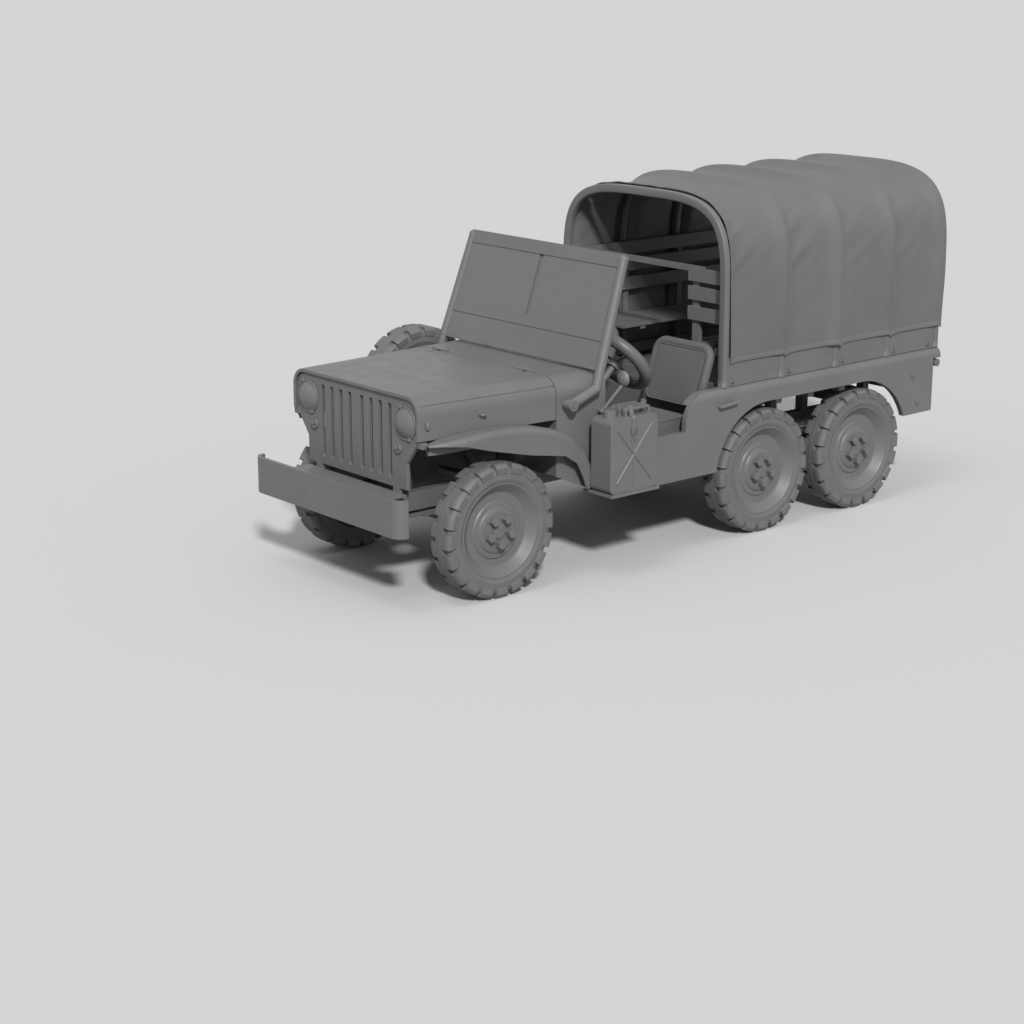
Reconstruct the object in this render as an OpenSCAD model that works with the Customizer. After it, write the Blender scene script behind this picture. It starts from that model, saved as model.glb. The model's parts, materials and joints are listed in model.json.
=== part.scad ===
// Light six-wheel military cargo truck: open cab, folding windscreen and a
// cargo bed under a canvas tilt carried on hoops. Millimetres.
// X points to the truck's left, Y to its rear and Z up. Lengths along the truck
// are measured from the front axle, and the whole is then centred on its length.

/* [Wheels] */
// Outside diameter of a tyre over its lugs
tyre_d = 730; // [700:5:760]
// Width of a tyre over its lugs
tyre_w = 165; // [150:1:170]
// Lugs on each shoulder of a tyre
lug_count = 20; // [16:1:28]
// Height of the lugs above the carcass
lug_h = 18; // [12:1:24]
// Diameter on which the tyre seats
rim_d = 516; // [480:2:540]
// Bolt circle of the wheel nuts
nut_pcd = 146; // [130:1:170]

/* [Running gear] */
// Distance between the tyre centres of one axle
track = 1245; // [1225:1:1265]
// Front axle to middle axle
wheelbase = 1990; // [1960:5:2030]
// Middle axle to rear axle
bogie_spacing = 830; // [800:5:860]
// Bumper face to front axle
front_overhang = 645; // [630:1:665]
// Rear axle to the tip of the towing eye
rear_overhang = 725; // [722:1:760]
// Diameter of the axle tubes
axle_d = 76; // [64:1:84]
// Diameter of the wheel spindles
spindle_d = 60; // [48:1:66]

/* [Frame] */
// Distance between the centres of the frame rails
rail_spacing = 690; // [660:2:720]
// Width of a rail
rail_w = 55; // [45:1:65]
// Height of a rail
rail_h = 100; // [85:1:110]
// Height of the rails' top faces
frame_top = 570; // [560:1:580]

/* [Bonnet and grille] */
// Front axle forward to the grille
grille_set = 435; // [420:1:450]
// Width over the bonnet at the grille
hood_front_w = 1106; // [1080:2:1130]
// Width over the bonnet at its rear edge
hood_rear_w = 1240; // [1226:2:1248]
// Height of the bonnet's flat top
hood_top = 1110; // [1095:1:1125]
// Height of the bonnet's lower edge
hood_low = 885; // [875:1:895]
// Radius of the bonnet's shoulders
hood_r = 96; // [70:1:120]
// Slots in each half of the grille
slot_count = 4; // [3:1:5]

/* [Windscreen] */
// Width over the windscreen frame
screen_w = 1318; // [1300:2:1326]
// Height of the frame's top edge
screen_top = 1721; // [1650:1:1760]
// Lean of the windscreen from upright
screen_rake = 19; // [14:0.5:22]
// Diameter of the frame tube
screen_tube = 54; // [46:1:56]

/* [Body] */
// Width over the body sides
body_w = 1416; // [1400:2:1430]
// Thickness of the body sides
wall_t = 35; // [25:1:40]
// Height of the sill under the door opening
sill_top = 695; // [680:1:720]
// Height of the body sides' rail
rail_top = 900; // [885:1:920]
// Front axle to the rear face of the cowl
cowl_rear = 775; // [765:1:790]
// Front wall of the bed to the middle axle
bed_front = 300; // [285:1:310]
// Rear axle to the rear ends of the body's rails
bed_rear = 717; // [710:1:721]
// Height of the bed floor's top face
bed_top = 815; // [810:1:830]

/* [Canvas tilt] */
// Number of hoops
bow_count = 5; // [4:1:6]
// Front hoop to the front wall of the bed
bow_front = 30; // [22:1:35]
// Height of the hoops' tops
bow_top = 2030; // [1950:1:2060]
// Thickness of the canvas
canvas_t = 10; // [6:1:14]
// Height of the canvas hem
hem_z = 1025; // [1015:1:1045]
// How far the canvas sags between hoops
canvas_sag = 26; // [10:1:34]

/* [Hidden] */
$fn = 48;

// Gap between pieces that move on each other, and a finer one for pins
gap = 6;
pin_gap = 0.5;
// Overlap used only so that cuts run clean through
cut = 1;
// How far a bend's ball stands proud of its tubes
swell = 1;

// Lengths along the truck
middle_axle = wheelbase;
rear_axle = wheelbase + bogie_spacing;
tail_end = rear_axle + rear_overhang;
bed_y0 = middle_axle - bed_front;
bed_y1 = rear_axle + bed_rear;
bow_y0 = bed_y0 - bow_front;
front_axle_y = (front_overhang - tail_end) / 2;
axle_z = tyre_d / 2;

// Frame
rail_x = rail_spacing / 2;
frame_low = frame_top - rail_h;
rail_in = rail_x - rail_w / 2;
rail_out = rail_x + rail_w / 2;
rail_front = -front_overhang + 62;
rail_rear = bed_y1 - 160;

// Wheels
wheel_x = track / 2;
rim_r = rim_d / 2;
tyre_r = tyre_d / 2;
carcass_r = tyre_r - lug_h;
spindle_r = spindle_d / 2;
hub_clear = 1;
nut_count = 5;
nut_r = 25;
nut_len = 36;
kingpin_x = wheel_x - 100;
ball_r = 50;
fork_in = 58;
fork_out = 80;
plate_in = 58;
plate_t = 10;
plate_r = 136;
kingpin_r = 14;

// Half widths of the body
body_x = body_w / 2;
wall_in = body_x - wall_t;
hood_front_x = hood_front_w / 2;
hood_rear_x = hood_rear_w / 2;
hood_front = -grille_set;
hood_rear = 440;
sheet = 18;

// Half width of bonnet and cowl at a place along the truck
function hood_x(y) =
  hood_front_x + (hood_rear_x - hood_front_x) * (y - hood_front) / (hood_rear - hood_front);

// Cab
cab_floor_t = 18;
floor_top = frame_top + cab_floor_t;
cowl_front = hood_rear + gap;
cowl_x = hood_x(cowl_rear);
step_y = cowl_rear + 200;
step_t = 25;
riser_y = middle_axle - tyre_r - 55;

// Cargo bed
bed_t = 25;
bed_low = bed_top - bed_t;
arch_r = 415;
rail_depth = 62;
rail_in_x = body_x - 72;
bow_d = 40;
bow_t = 25;
front_bow_t = 55;
bow_r = bow_d / 2;
bow_x = body_x - 22;
bow_span = bed_y1 - bow_r - bow_y0;
bow_pitch = bow_span / (bow_count - 1);
bow_corner = 245;
bow_list = [for (i = [0 : bow_count - 1]) bow_y0 + i * bow_pitch];
hinge_y = bed_y1 - 17;
hinge_z = bed_low + 14;
panel_rear = bed_y1 - 67;
gate_t = 20;
gate_y = hinge_y - 4 - gate_t;
hinge_tube_r = 24;
hinge_ring_r = hinge_tube_r + 10;

// Benches
bench_z = bed_top + 270;
rack_top = bow_top - bow_corner - 240;
rack_post = 40;
bench_depth = 320;
post_t = 22;
slat_t = 18;
post_x = rail_in_x + post_t;
slat_x = rail_in_x - slat_t;
bench_hinge_x = slat_x - 28;
bench_rod_r = 8;

// Windscreen: pivot and the corner where the tube turns forward
pivot_y = cowl_front + 54;
pivot_z = hood_top - 144;
foot_y = cowl_rear - 97;
foot_z = hood_top - 80;
tube_r = screen_tube / 2;
screen_x = screen_w / 2 - tube_r;
arm_x = hood_x(foot_y + tube_r) + gap + 2 + tube_r;
screen_len = (screen_top - foot_z) / cos(screen_rake);
pivot_r = 12;

// Places a part on the truck's centred length
module place() translate([0, front_axle_y, 0]) children();

// Turns a part whose axis is Z so that its axis is X, top outwards on the left
module along_x() rotate([0, 90, 0]) children();

// Draws a left-hand part on the right
module right_hand() mirror([1, 0, 0]) children();

// Draws a part on both sides
module both() {
  children();
  mirror([1, 0, 0]) children();
}

// Box between two opposite corners
module box(a, b) {
  low = [for (i = [0 : 2]) min(a[i], b[i])];
  high = [for (i = [0 : 2]) max(a[i], b[i])];
  translate(low) cube(high - low);
}

// Rectangle between two corners, as 2-D outline, with rounded corners
module rounded(a, b, r) {
  translate(a + [r, 0]) square(b - a - [2 * r, 0]);
  translate(a + [0, r]) square(b - a - [0, 2 * r]);
  for (x = [a[0] + r, b[0] - r], y = [a[1] + r, b[1] - r]) translate([x, y]) circle(r);
}

// Prism along X: outline given as (y, z)
module across(x0, x1) translate([x0, 0, 0]) rotate([90, 0, 90]) linear_extrude(x1 - x0) children();

// Prism along Y: outline given as (x, z)
module along(y0, y1) translate([0, y1, 0]) rotate([90, 0, 0]) linear_extrude(y1 - y0) children();

// Rod of one radius between two points
module rod(a, b, r) {
  d = b - a;
  h = norm(d);
  translate(a)
    rotate([0, acos(d[2] / h), atan2(d[1], d[0])])
      cylinder(h = h, r = r);
}

// Tyre with its axis along X, outer face at +X
module tyre() {
  face = tyre_w / 2;
  bead = face - 14;
  band = 30;
  side_low = rim_r + 48;
  along_x() union() {
    rotate_extrude()
      polygon([
        [rim_r, -bead], [rim_r + 22, -face + 6], [side_low + 8, -face + 8],
        [carcass_r - 12, -face + 14], [carcass_r, -face + 30], [carcass_r, -band],
        [tyre_r - 2, -band + 2], [tyre_r, 0], [tyre_r - 2, band - 2], [carcass_r, band],
        [carcass_r, face - 30], [carcass_r - 12, face - 14],
        [side_low + 8, face - 8], [rim_r + 22, face - 6], [rim_r, bead]
      ]);
    for (s = [-1, 1]) lug_ring(s, band - 4, face, side_low);
  }
}

// Shoulder lugs of one side: a toothed ring trimmed to the lugs' envelope
module lug_ring(s, band, face, side_low) {
  pitch = 360 / lug_count;
  fill = 0.72;
  deep = side_low - 3;
  teeth = [
    for (i = [0 : lug_count - 1])
      let (a = (i + (s > 0 ? 0 : 0.5)) * pitch, h = pitch * fill / 2)
      each [
        deep * [cos(a - h), sin(a - h)], (tyre_r + 9) * [cos(a - h), sin(a - h)],
        (tyre_r + 9) * [cos(a + h), sin(a + h)], deep * [cos(a + h), sin(a + h)]
      ]
  ];
  intersection() {
    mirror([0, 0, s > 0 ? 0 : 1]) translate([0, 0, band]) linear_extrude(face - band) polygon(teeth);
    mirror([0, 0, s > 0 ? 0 : 1]) rotate_extrude()
      polygon([
        [side_low, face - 12], [side_low + 6, face - 4], [tyre_r - 22, face], [tyre_r - 4, face - 12],
        [tyre_r, face - 26], [tyre_r, band], [carcass_r - 6, band], [carcass_r - 16, face - 22]
      ]);
  }
}

// Wheel with its axis along X, nuts outwards at +X. The spare's seat is the
// depth to which its hub is bored.
disc_x = 26;
drum_x = -58;
nut_x = disc_x + 22;
spare_seat = nut_x - cut;
module rim() {
  face = tyre_w / 2;
  bead = face - 14;
  skin = 12;
  disc_t = 14;
  drum_r = 152;
  hub_r = spindle_r + hub_clear;
  along_x() difference() {
    union() {
      rotate_extrude()
        polygon([
          [0, disc_x - disc_t], [drum_r - 10, disc_x - disc_t], [drum_r - 10, drum_x + 2], [drum_r, drum_x],
          [drum_r + 8, drum_x], [drum_r + 8, disc_x - disc_t - 4], [rim_r - 66, disc_x - disc_t - 4],
          [rim_r - skin - 8, -bead + 20], [rim_r - skin, -bead], [rim_r, -bead], [rim_r, bead],
          [rim_r - 6, bead + 2], [rim_r - skin, bead - 4], [rim_r - 52, disc_x + 3], [rim_r - 60, disc_x],
          [160, disc_x], [152, disc_x + 7], [128, disc_x + 9], [122, disc_x + 16], [104, disc_x + 22],
          [0, disc_x + 22]
        ]);
      cylinder(h = nut_x + 9, r = nut_pcd / 2 - nut_r - 6);
      for (i = [0 : nut_count - 1])
        rotate(i * 360 / nut_count) translate([nut_pcd / 2, 0, nut_x - cut])
          cylinder(h = nut_len + cut, r = nut_r, $fn = 6);
    }
    translate([0, 0, drum_x - cut]) cylinder(h = nut_x - drum_x, r = hub_r);
  }
}

// Places for the six wheels: side and distance from the front axle
module wheel_at(side, y) translate([side * wheel_x, y, axle_z]) mirror([side > 0 ? 0 : 1, 0, 0]) children();

// Spare wheel carried on the right side of the cowl, its nuts outwards
spare_y = 590;
spare_z = 812;
spare_out = 874;
spare_x = spare_out - tyre_w / 2;
module spare_at() translate([-spare_x, spare_y, spare_z]) mirror([1, 0, 0]) children();

// Ladder frame
module frame_rails() color("dimgray")
  both() box([rail_in, rail_front, frame_low], [rail_out, rail_rear, frame_top]);

// Cross members between the rails, the towing eye on the last
module cross_members() color("dimgray") {
  member_r = 32;
  for (y = [hood_front + 55, cowl_rear + 345, riser_y + 70, (middle_axle + rear_axle) / 2])
    translate([-rail_in, y, frame_low + rail_h / 2]) along_x() cylinder(h = 2 * rail_in, r = member_r);
  box([-rail_in, rail_rear - 60, frame_low + 5], [rail_in, rail_rear, frame_top - 5]);
  towing_eye();
  both() bumper_horn();
}

// Horns that carry the bumper ahead of the rails
module bumper_horn()
  box([rail_in, -front_overhang + bumper_t, frame_low + 10], [rail_out, rail_front, frame_top]);

eye_r = 17;
eye_out = 33;
eye_t = 40;
eye_y = tail_end - eye_out;
eye_z = frame_low + rail_h / 2;
module towing_eye() {
  translate([0, rail_rear - cut, eye_z]) rotate([-90, 0, 0]) cylinder(h = 12 + cut, r = 55);
  difference() {
    union() {
      translate([0, rail_rear, eye_z]) rotate([-90, 0, 0]) cylinder(h = eye_y - rail_rear - eye_r - 4, r = 22);
      translate([-eye_t / 2, eye_y, eye_z]) along_x() cylinder(h = eye_t, r = eye_out);
    }
    translate([-eye_t / 2 - cut, eye_y, eye_z]) along_x() cylinder(h = eye_t + 2 * cut, r = eye_r);
  }
}

// Bumper: flat plate whose ends turn back
bumper_w = 1310;
bumper_h = 200;
bumper_low = 424;
bumper_t = 22;
module bumper() color("gray") {
  t = bumper_t;
  r = 66;
  x = bumper_w / 2;
  translate([0, 0, bumper_low]) linear_extrude(bumper_h) {
    translate([-x + r, -front_overhang]) square([2 * (x - r), t]);
    both() translate([x - r, -front_overhang + r])
      intersection() {
        difference() {
          circle(r);
          circle(r - t);
        }
        translate([0, -r]) square(r);
      }
  }
}

// Pan between the bumper and the grille, lying on the rails
apron_t = 12;
module front_apron() color("gray")
  box([-430, -front_overhang + bumper_t + 4, frame_top], [430, grille_y, frame_top + apron_t]);

// Leaf springs: a pair on each axle, hung under the rails
leaf_w = 45;
module springs() color("dimgray") both() {
  translate([rail_x, 0, 0]) {
    leaf_pack(0, axle_z + axle_d / 2, 430, frame_low - axle_z - axle_d / 2, 4);
    for (y = [middle_axle, rear_axle])
      leaf_pack(y, axle_z + axle_d / 2, 385, frame_low - axle_z - axle_d / 2, 4);
  }
}

// One pack of leaves, each shorter than the one above it, under its hangers
module leaf_pack(y, z, half, high, count) {
  leaf_t = 9;
  across(-leaf_w / 2, leaf_w / 2) {
    for (i = [0 : count - 1])
      translate([y - half * (1 - i / (count + 1)), z + high - 20 - (i + 1) * leaf_t])
        square([2 * half * (1 - i / (count + 1)), leaf_t + 0.01]);
    for (s = [-1, 1]) translate([y + s * (half - 22) - 20, z + high - 20 - 0.01]) square([40, 20.01]);
    translate([y - 45, z]) square([90, high - 20]);
  }
}

// Differential housing and axle tube, on the axle's centre. Each entry of
// ends says which way a pinion neck points along Y.
diff_x = -215;
neck_len = 165;
module axle_housing(half, ends) {
  along_x() translate([0, 0, -half]) cylinder(h = 2 * half, r = axle_d / 2);
  translate([diff_x, 0, 0]) {
    intersection() {
      sphere(128);
      cube([190, 260, 260], center = true);
    }
    for (s = ends) rotate([-90 * s, 0, 0]) cylinder(h = neck_len, r = 62);
  }
}

// Front axle: the tube ends in balls with kingpins
module front_axle() color("dimgray") translate([0, 0, axle_z]) {
  axle_housing(kingpin_x - 30, [1]);
  both() translate([kingpin_x, 0, 0]) {
    sphere(ball_r);
    translate([0, 0, -fork_out]) cylinder(h = 2 * fork_out, r = kingpin_r);
  }
}

// Steering knuckle, on the kingpin's centre, spindle towards +X
spindle_end = wheel_x - kingpin_x + 40;
arm_y = 150;
arm_z = -fork_out + 11;
arm_t = 22;
rod_drop = 22;
module knuckle() {
  difference() {
    union() {
      for (z = [-fork_out, fork_in]) translate([0, 0, z]) linear_extrude(fork_out - fork_in) {
        circle(34);
        translate([0, -34]) square([plate_in + 2, 68]);
      }
      translate([plate_in, 0, 0]) along_x() cylinder(h = plate_t, r = plate_r);
      translate([plate_in + 2, 0, 0]) along_x() cylinder(h = spindle_end - plate_in - 2, r = spindle_r);
      translate([0, 0, arm_z - arm_t / 2]) steering_arm();
    }
    translate([0, 0, -fork_out - 10]) cylinder(h = 2 * fork_out + 20, r = kingpin_r + pin_gap);
  }
  translate([0, arm_y, arm_z - arm_t / 2 - rod_drop - 12]) cylinder(h = rod_drop + 12 + cut, r = 9);
}

// Arm that reaches back to the tie rod
module steering_arm() linear_extrude(arm_t) {
  translate([0, 40]) circle(30);
  translate([-15, 40]) square([30, arm_y - 40]);
  translate([0, arm_y]) circle(18);
}

module knuckle_left() color("dimgray") translate([kingpin_x, 0, axle_z]) knuckle();
module knuckle_right() color("dimgray") right_hand() translate([kingpin_x, 0, axle_z]) knuckle();

// Tie rod between the two steering arms
module tie_rod() color("dimgray") {
  z = axle_z + arm_z - arm_t / 2 - rod_drop;
  eye_h = 18;
  translate([0, arm_y, z]) difference() {
    union() {
      along_x() translate([0, 0, -kingpin_x + 16]) cylinder(h = 2 * kingpin_x - 32, r = 14);
      both() translate([kingpin_x, 0, -eye_h / 2]) cylinder(h = eye_h, r = 20);
    }
    both() translate([kingpin_x, 0, -eye_h]) cylinder(h = 2 * eye_h, r = 9 + pin_gap);
  }
}

// Two driven axles of the bogie
module rear_axles() color("dimgray") for (y = [middle_axle, rear_axle]) translate([0, y, axle_z]) {
  axle_housing(wheel_x - 60, y == middle_axle ? [-1, 1] : [-1]);
  both() {
    along_x() cylinder(h = wheel_x + 40 - cut, r = spindle_r);
    translate([kingpin_x + plate_in, 0, 0]) along_x() cylinder(h = plate_t, r = plate_r);
  }
}

// Propeller shafts from the transfer case to the axles
case_y = 900;
case_z = 455;
case_half = 120;
module prop_shafts() color("dimgray") {
  shaft(neck_len, axle_z, case_y - case_half, case_z);
  shaft(case_y + case_half, case_z, middle_axle - neck_len, axle_z);
  shaft(middle_axle + neck_len, axle_z, rear_axle - neck_len, axle_z);
}

// One shaft between two flanges
module shaft(y0, z0, y1, z1) {
  flange_t = 16;
  for (e = [[y0, z0], [y1 - flange_t, z1]])
    translate([diff_x, e[0], e[1]]) rotate([-90, 0, 0]) cylinder(h = flange_t, r = 48);
  rod([diff_x, y0 + flange_t / 2, z0], [diff_x, y1 - flange_t / 2, z1], 28);
}

// Engine block with its sump, clutch housing, gearbox and transfer case
module engine() color("dimgray") {
  clutch_y = hood_rear - 5;
  box([-130, -190, 560], [130, 300, 905]);
  box([-110, -130, 500], [110, 280, 561]);
  box([-60, -150, 904], [60, 260, 960]);
  translate([0, 299, 610]) rotate([-90, 0, 0]) cylinder(h = clutch_y - 299, r = 130);
  box([-85, clutch_y - cut, frame_low], [85, 790, frame_top - 2]);
  box([diff_x - 75, case_y - case_half, case_z - 75], [diff_x + 75, case_y + case_half, case_z + 75]);
  box([diff_x + 60, case_y - 110, case_z - 40], [85, 800, case_z + 60]);
  both() box([129, 20, frame_top], [rail_x, 80, frame_top + 30]);
}

// Radiator behind the grille, standing on the rails
module radiator() color("dimgray") {
  y0 = hood_front + 40;
  box([-300, y0, 610], [300, y0 + 70, 1010]);
  box([-260, y0, 1009], [260, y0 + 80, 1050]);
  both() box([270, y0, 640], [rail_x, y0 + 70, 700]);
  both() box([rail_in, y0, frame_top], [rail_x, y0 + 70, 641]);
}

// Exhaust pipe and silencer along the left rail
module exhaust() color("dimgray") {
  x = 175;
  z = 420;
  elbow = [x, 200, 660];
  low = [x, 420, z];
  silencer_r = 58;
  silencer_y = [riser_y - 420, riser_y];
  rod([130, elbow[1], elbow[2]], elbow, 22);
  translate(elbow) sphere(22 + swell);
  rod(elbow, low, 22);
  translate(low) sphere(22 + swell);
  rod(low, [x, silencer_y[0] + 10, z], 22);
  translate([x, silencer_y[0], z]) rotate([-90, 0, 0]) cylinder(h = silencer_y[1] - silencer_y[0], r = silencer_r);
  rod([x, silencer_y[1] - 10, z], [x, silencer_y[1] + 210, z], 20);
  for (y = [silencer_y[0] + 50, silencer_y[1] - 70]) box([x, y, z + 30], [rail_in, y + 20, frame_low + 12]);
}

// Grille panel, cut for the slots and for the lamps
grille_t = 20;
grille_y = hood_front + 14;
grille_x = hood_front_x - sheet - gap;
grille_low = frame_top + 37;
grille_foot_x = grille_x - 93;
grille_knee = [hood_low - 139, hood_low - 19];
lamp_r = 86;
lamp_x = grille_x - lamp_r - 12;
lamp_z = hood_top - 148;
marker_x = lamp_x - 59;
marker_z = lamp_z - 144;
marker_r = 26;
slot_first = 53;
slot_w = 30;
slot_edge = 34;
slot_pitch = (lamp_x - lamp_r - slot_edge - slot_w / 2 - slot_first) / (slot_count - 1);
slot_low = grille_low + 43;
slot_high = hood_top - 62;
module grille_outline() {
  x = grille_x;
  foot = grille_foot_x;
  r = hood_r - sheet - gap;
  top = hood_top - sheet - gap;
  polygon([
    [-foot, grille_low], [foot, grille_low], [foot, grille_knee[0]], [x, grille_knee[1]], [x, top - r],
    [-x, top - r], [-x, grille_knee[1]], [-foot, grille_knee[0]]
  ]);
  both() translate([x - r, top - r]) intersection() {
    circle(r);
    square(r);
  }
  translate([-x + r, top - r - 0.01]) square([2 * (x - r), r + 0.01]);
}

module grille() color("gray") {
  along(grille_y, grille_y + grille_t) difference() {
    grille_outline();
    for (s = [-1, 1], i = [0 : slot_count - 1]) translate([s * (slot_first + i * slot_pitch), 0]) {
      translate([-slot_w / 2, slot_low + slot_w / 2]) square([slot_w, slot_high - slot_low - slot_w]);
      for (z = [slot_low + slot_w / 2, slot_high - slot_w / 2]) translate([0, z]) circle(slot_w / 2);
    }
    for (s = [-1, 1]) {
      translate([s * lamp_x, lamp_z]) circle(lamp_r);
      translate([s * marker_x, marker_z]) circle(marker_r);
    }
  }
  both() box([rail_in, grille_y, frame_top], [rail_out, grille_y + grille_t, grille_low + 1]);
}

// Head lamps and marker lamps, seated in the grille
module lamps() color("lightgray") both() {
  translate([lamp_x, grille_y, lamp_z]) rotate([90, 0, 0]) {
    translate([0, 0, -80]) cylinder(h = 80, r = lamp_r);
    intersection() {
      translate([0, 0, -lamp_r]) sphere(lamp_r * 1.41);
      translate([0, 0, -0.01]) cylinder(h = 40, r = lamp_r - 1);
    }
  }
  translate([marker_x, grille_y, marker_z]) rotate([90, 0, 0]) {
    translate([0, 0, -40]) cylinder(h = 52, r = marker_r);
  }
}

// Sweep of a skin along stations. Each station is
// [y, z, outer x, depth of inner leg, depth of outer leg].
fender_t = 10;
fender_r = 34;
fender_x = 694;
fender_stations = [
  [-400, 868, 600, 60, 10],
  [-330, 885, 664, 80, 22],
  [-230, 899, fender_x, 92, 46],
  [-80, 908, fender_x, 100, 98],
  [90, 905, fender_x, 98, 134],
  [240, 888, fender_x, 90, 150],
  [392, 849, fender_x, 80, 140],
  [513, 790, fender_x, 60, 112],
  [608, 700, fender_x, 50, 94],
  [660, 590, fender_x, 46, 88],
  [682, 508, fender_x, 40, 80]
];

// Direction along the stations at one of them, as (y, z)
function station_dir(i) =
  let (n = len(fender_stations) - 1, a = fender_stations[max(i - 1, 0)], b = fender_stations[min(i + 1, n)],
       d = [b[0] - a[0], b[1] - a[1]])
  d / norm(d);

// Section of the skin at a station as (x, depth) points, inset by t
function fender_section(s, t) =
  let (x0 = hood_x(s[0]) + (s[0] > cowl_front + 20 ? 0 : gap + 2) + t, x1 = s[2] - t,
       r = min(fender_r, s[4] + t + 1) - t, arc_steps = 4)
  concat(
    [[x0, s[3]], [x0, t]],
    [for (k = [0 : arc_steps]) let (a = 90 - 90 * k / arc_steps) [x1 - r + r * cos(a), t + r - r * sin(a)]],
    [[x1, s[4] + (t > 0 ? 0.5 : 0)]]
  );

function fender_ring(i) =
  let (s = fender_stations[i], d = station_dir(i), down = [d[1], -d[0]],
       outer = fender_section(s, 0), inner = fender_section(s, fender_t),
       loop = concat(outer, [for (k = [len(inner) - 1 : -1 : 0]) inner[k]]))
  [for (p = loop) [p[0], s[0] + down[0] * p[1], s[1] + down[1] * p[1]]];

module fender_skin() {
  rings = [for (i = [0 : len(fender_stations) - 1]) fender_ring(i)];
  n = len(rings[0]);
  m = len(rings);
  polyhedron(
    points = [for (r = rings) each r],
    faces = concat(
      [[for (k = [0 : n - 1]) k]],
      [[for (k = [n - 1 : -1 : 0]) (m - 1) * n + k]],
      [for (i = [0 : m - 2], k = [0 : n - 1])
        let (a = i * n + k, b = i * n + (k + 1) % n, c = a + n, e = b + n) each [[a, c, b], [b, c, e]]]
    )
  );
}

// Tab that joins the fender's tip to the grille
module fender() {
  fender_skin();
  box([grille_x, -420, 846], [hood_x(-390) + gap + 6, -388, hood_low - gap]);
}

module fender_left() color("gray") fender();
module fender_right() color("gray") right_hand() fender();

// Outline of bonnet and cowl across the truck, as (x, z), with half width w
module hood_outline(w, r, top, low) {
  translate([-w, low]) square([2 * w, top - r - low]);
  translate([-w + r, top - r - 1]) square([2 * (w - r), r + 1]);
  both() translate([w - r, top - r]) circle(r, $fn = 32);
}

// Tapered length of that outline
module hood_block(y0, y1, inset, low) {
  thin = 0.1;
  r = hood_r - inset;
  hull() {
    along(y0, y0 + thin) hood_outline(hood_x(y0) - inset, r, hood_top - inset, low);
    along(y1 - thin, y1) hood_outline(hood_x(y1) - inset, r, hood_top - inset, low);
  }
}

// Bonnet hinges: barrels on one pin, on the line where bonnet and cowl meet.
// Each entry of spans is a stretch of barrel measured from the hinge's middle.
hood_axis = [hood_rear + gap / 2, hood_top + 8];
barrel_r = 8;
hinge_half = 22;
hinge_x = hood_rear_x - 250;
module hood_hinge(spans, leaf_y, bored) both() translate([hinge_x, 0, 0]) for (v = spans) difference() {
  union() {
    translate([v[0], hood_axis[0], hood_axis[1]]) along_x() cylinder(h = v[1] - v[0], r = barrel_r);
    box([v[0], min(leaf_y, hood_axis[0]), hood_top - 1], [v[1], max(leaf_y, hood_axis[0]), hood_top + 4]);
  }
  if (bored) translate([v[0] - cut, hood_axis[0], hood_axis[1]]) along_x()
    cylinder(h = v[1] - v[0] + 2 * cut, r = barrel_r / 2 + pin_gap);
}

// Bonnet: open below, its front edge round the grille
module hood() color("gray") {
  hood_hinge([[-3 * hinge_half, -hinge_half - pin_gap], [hinge_half + pin_gap, 3 * hinge_half]], hood_rear - 60, true);
  difference() {
    hood_block(hood_front, hood_rear, 0, hood_low);
    hood_block(hood_front - cut, hood_rear + cut, sheet, hood_low - cut);
  }
}

// Cowl: scuttle, firewall, instrument panel and kick panels
dash_low = hood_top - 170;
module cowl() color("gray") {
  difference() {
    hood_block(cowl_front, cowl_rear, 0, hood_low);
    hood_block(cowl_front + sheet, cowl_rear - sheet, sheet, hood_low - cut);
    hood_block(cowl_rear - sheet - cut, cowl_rear + cut, sheet, hood_low - cut);
  }
  intersection() {
    hood_block(cowl_rear - sheet, cowl_rear, sheet - 1, dash_low);
    box([-body_x, 0, dash_low], [body_x, 2 * cowl_rear, 2 * hood_top]);
  }
  hood_hinge([[-hinge_half, hinge_half]], cowl_front + 50, false);
  both() translate([hinge_x - 3 * hinge_half, hood_axis[0], hood_axis[1]]) along_x()
    cylinder(h = 6 * hinge_half, r = barrel_r / 2);
  firewall_x = hood_x(cowl_front) - sheet - 2;
  box([-firewall_x, cowl_front, frame_top + cab_floor_t], [firewall_x, cowl_front + sheet, hood_low + 2]);
  both() {
    kick_panel();
    rod([hood_x(pivot_y) - sheet / 2, pivot_y, pivot_z], [arm_x + tube_r + 4, pivot_y, pivot_z], pivot_r);
  }
  rod([-hood_x(spare_y) + sheet / 2, spare_y, spare_z], [-spare_x - spare_seat, spare_y, spare_z], spindle_r);
}

module kick_panel() {
  y0 = cowl_front;
  x0 = hood_x(y0);
  x1 = cowl_x;
  intersection() {
    linear_extrude(hood_low + 2)
      polygon([[x0 - sheet, y0], [x0, y0], [x1, cowl_rear], [x1, step_y], [x1 - sheet, step_y], [x1 - sheet, cowl_rear]]);
    across(0, cowl_x + hood_x(y0)) polygon([
      [y0, frame_top], [y0, hood_low + 2], [cowl_rear, hood_low + 2], [cowl_rear + 30, sill_top],
      [step_y, sill_top], [step_y, side_low + 5], [cowl_rear - 5, side_low + 5]
    ]);
  }
}

// Cab floor with its sloping toe board
module cab_floor() color("gray") {
  x0 = hood_x(cowl_front) - sheet;
  x1 = cowl_x - sheet;
  y0 = cowl_front;
  y1 = wall_in > x1 ? step_y + step_t : step_y;
  translate([0, 0, frame_top]) linear_extrude(cab_floor_t)
    polygon([
      [-x0, y0], [x0, y0], [x1, cowl_rear], [x1, y1], [wall_in, y1], [wall_in, riser_y],
      [-wall_in, riser_y], [-wall_in, y1], [-x1, y1], [-x1, cowl_rear]
    ]);
}

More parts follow.
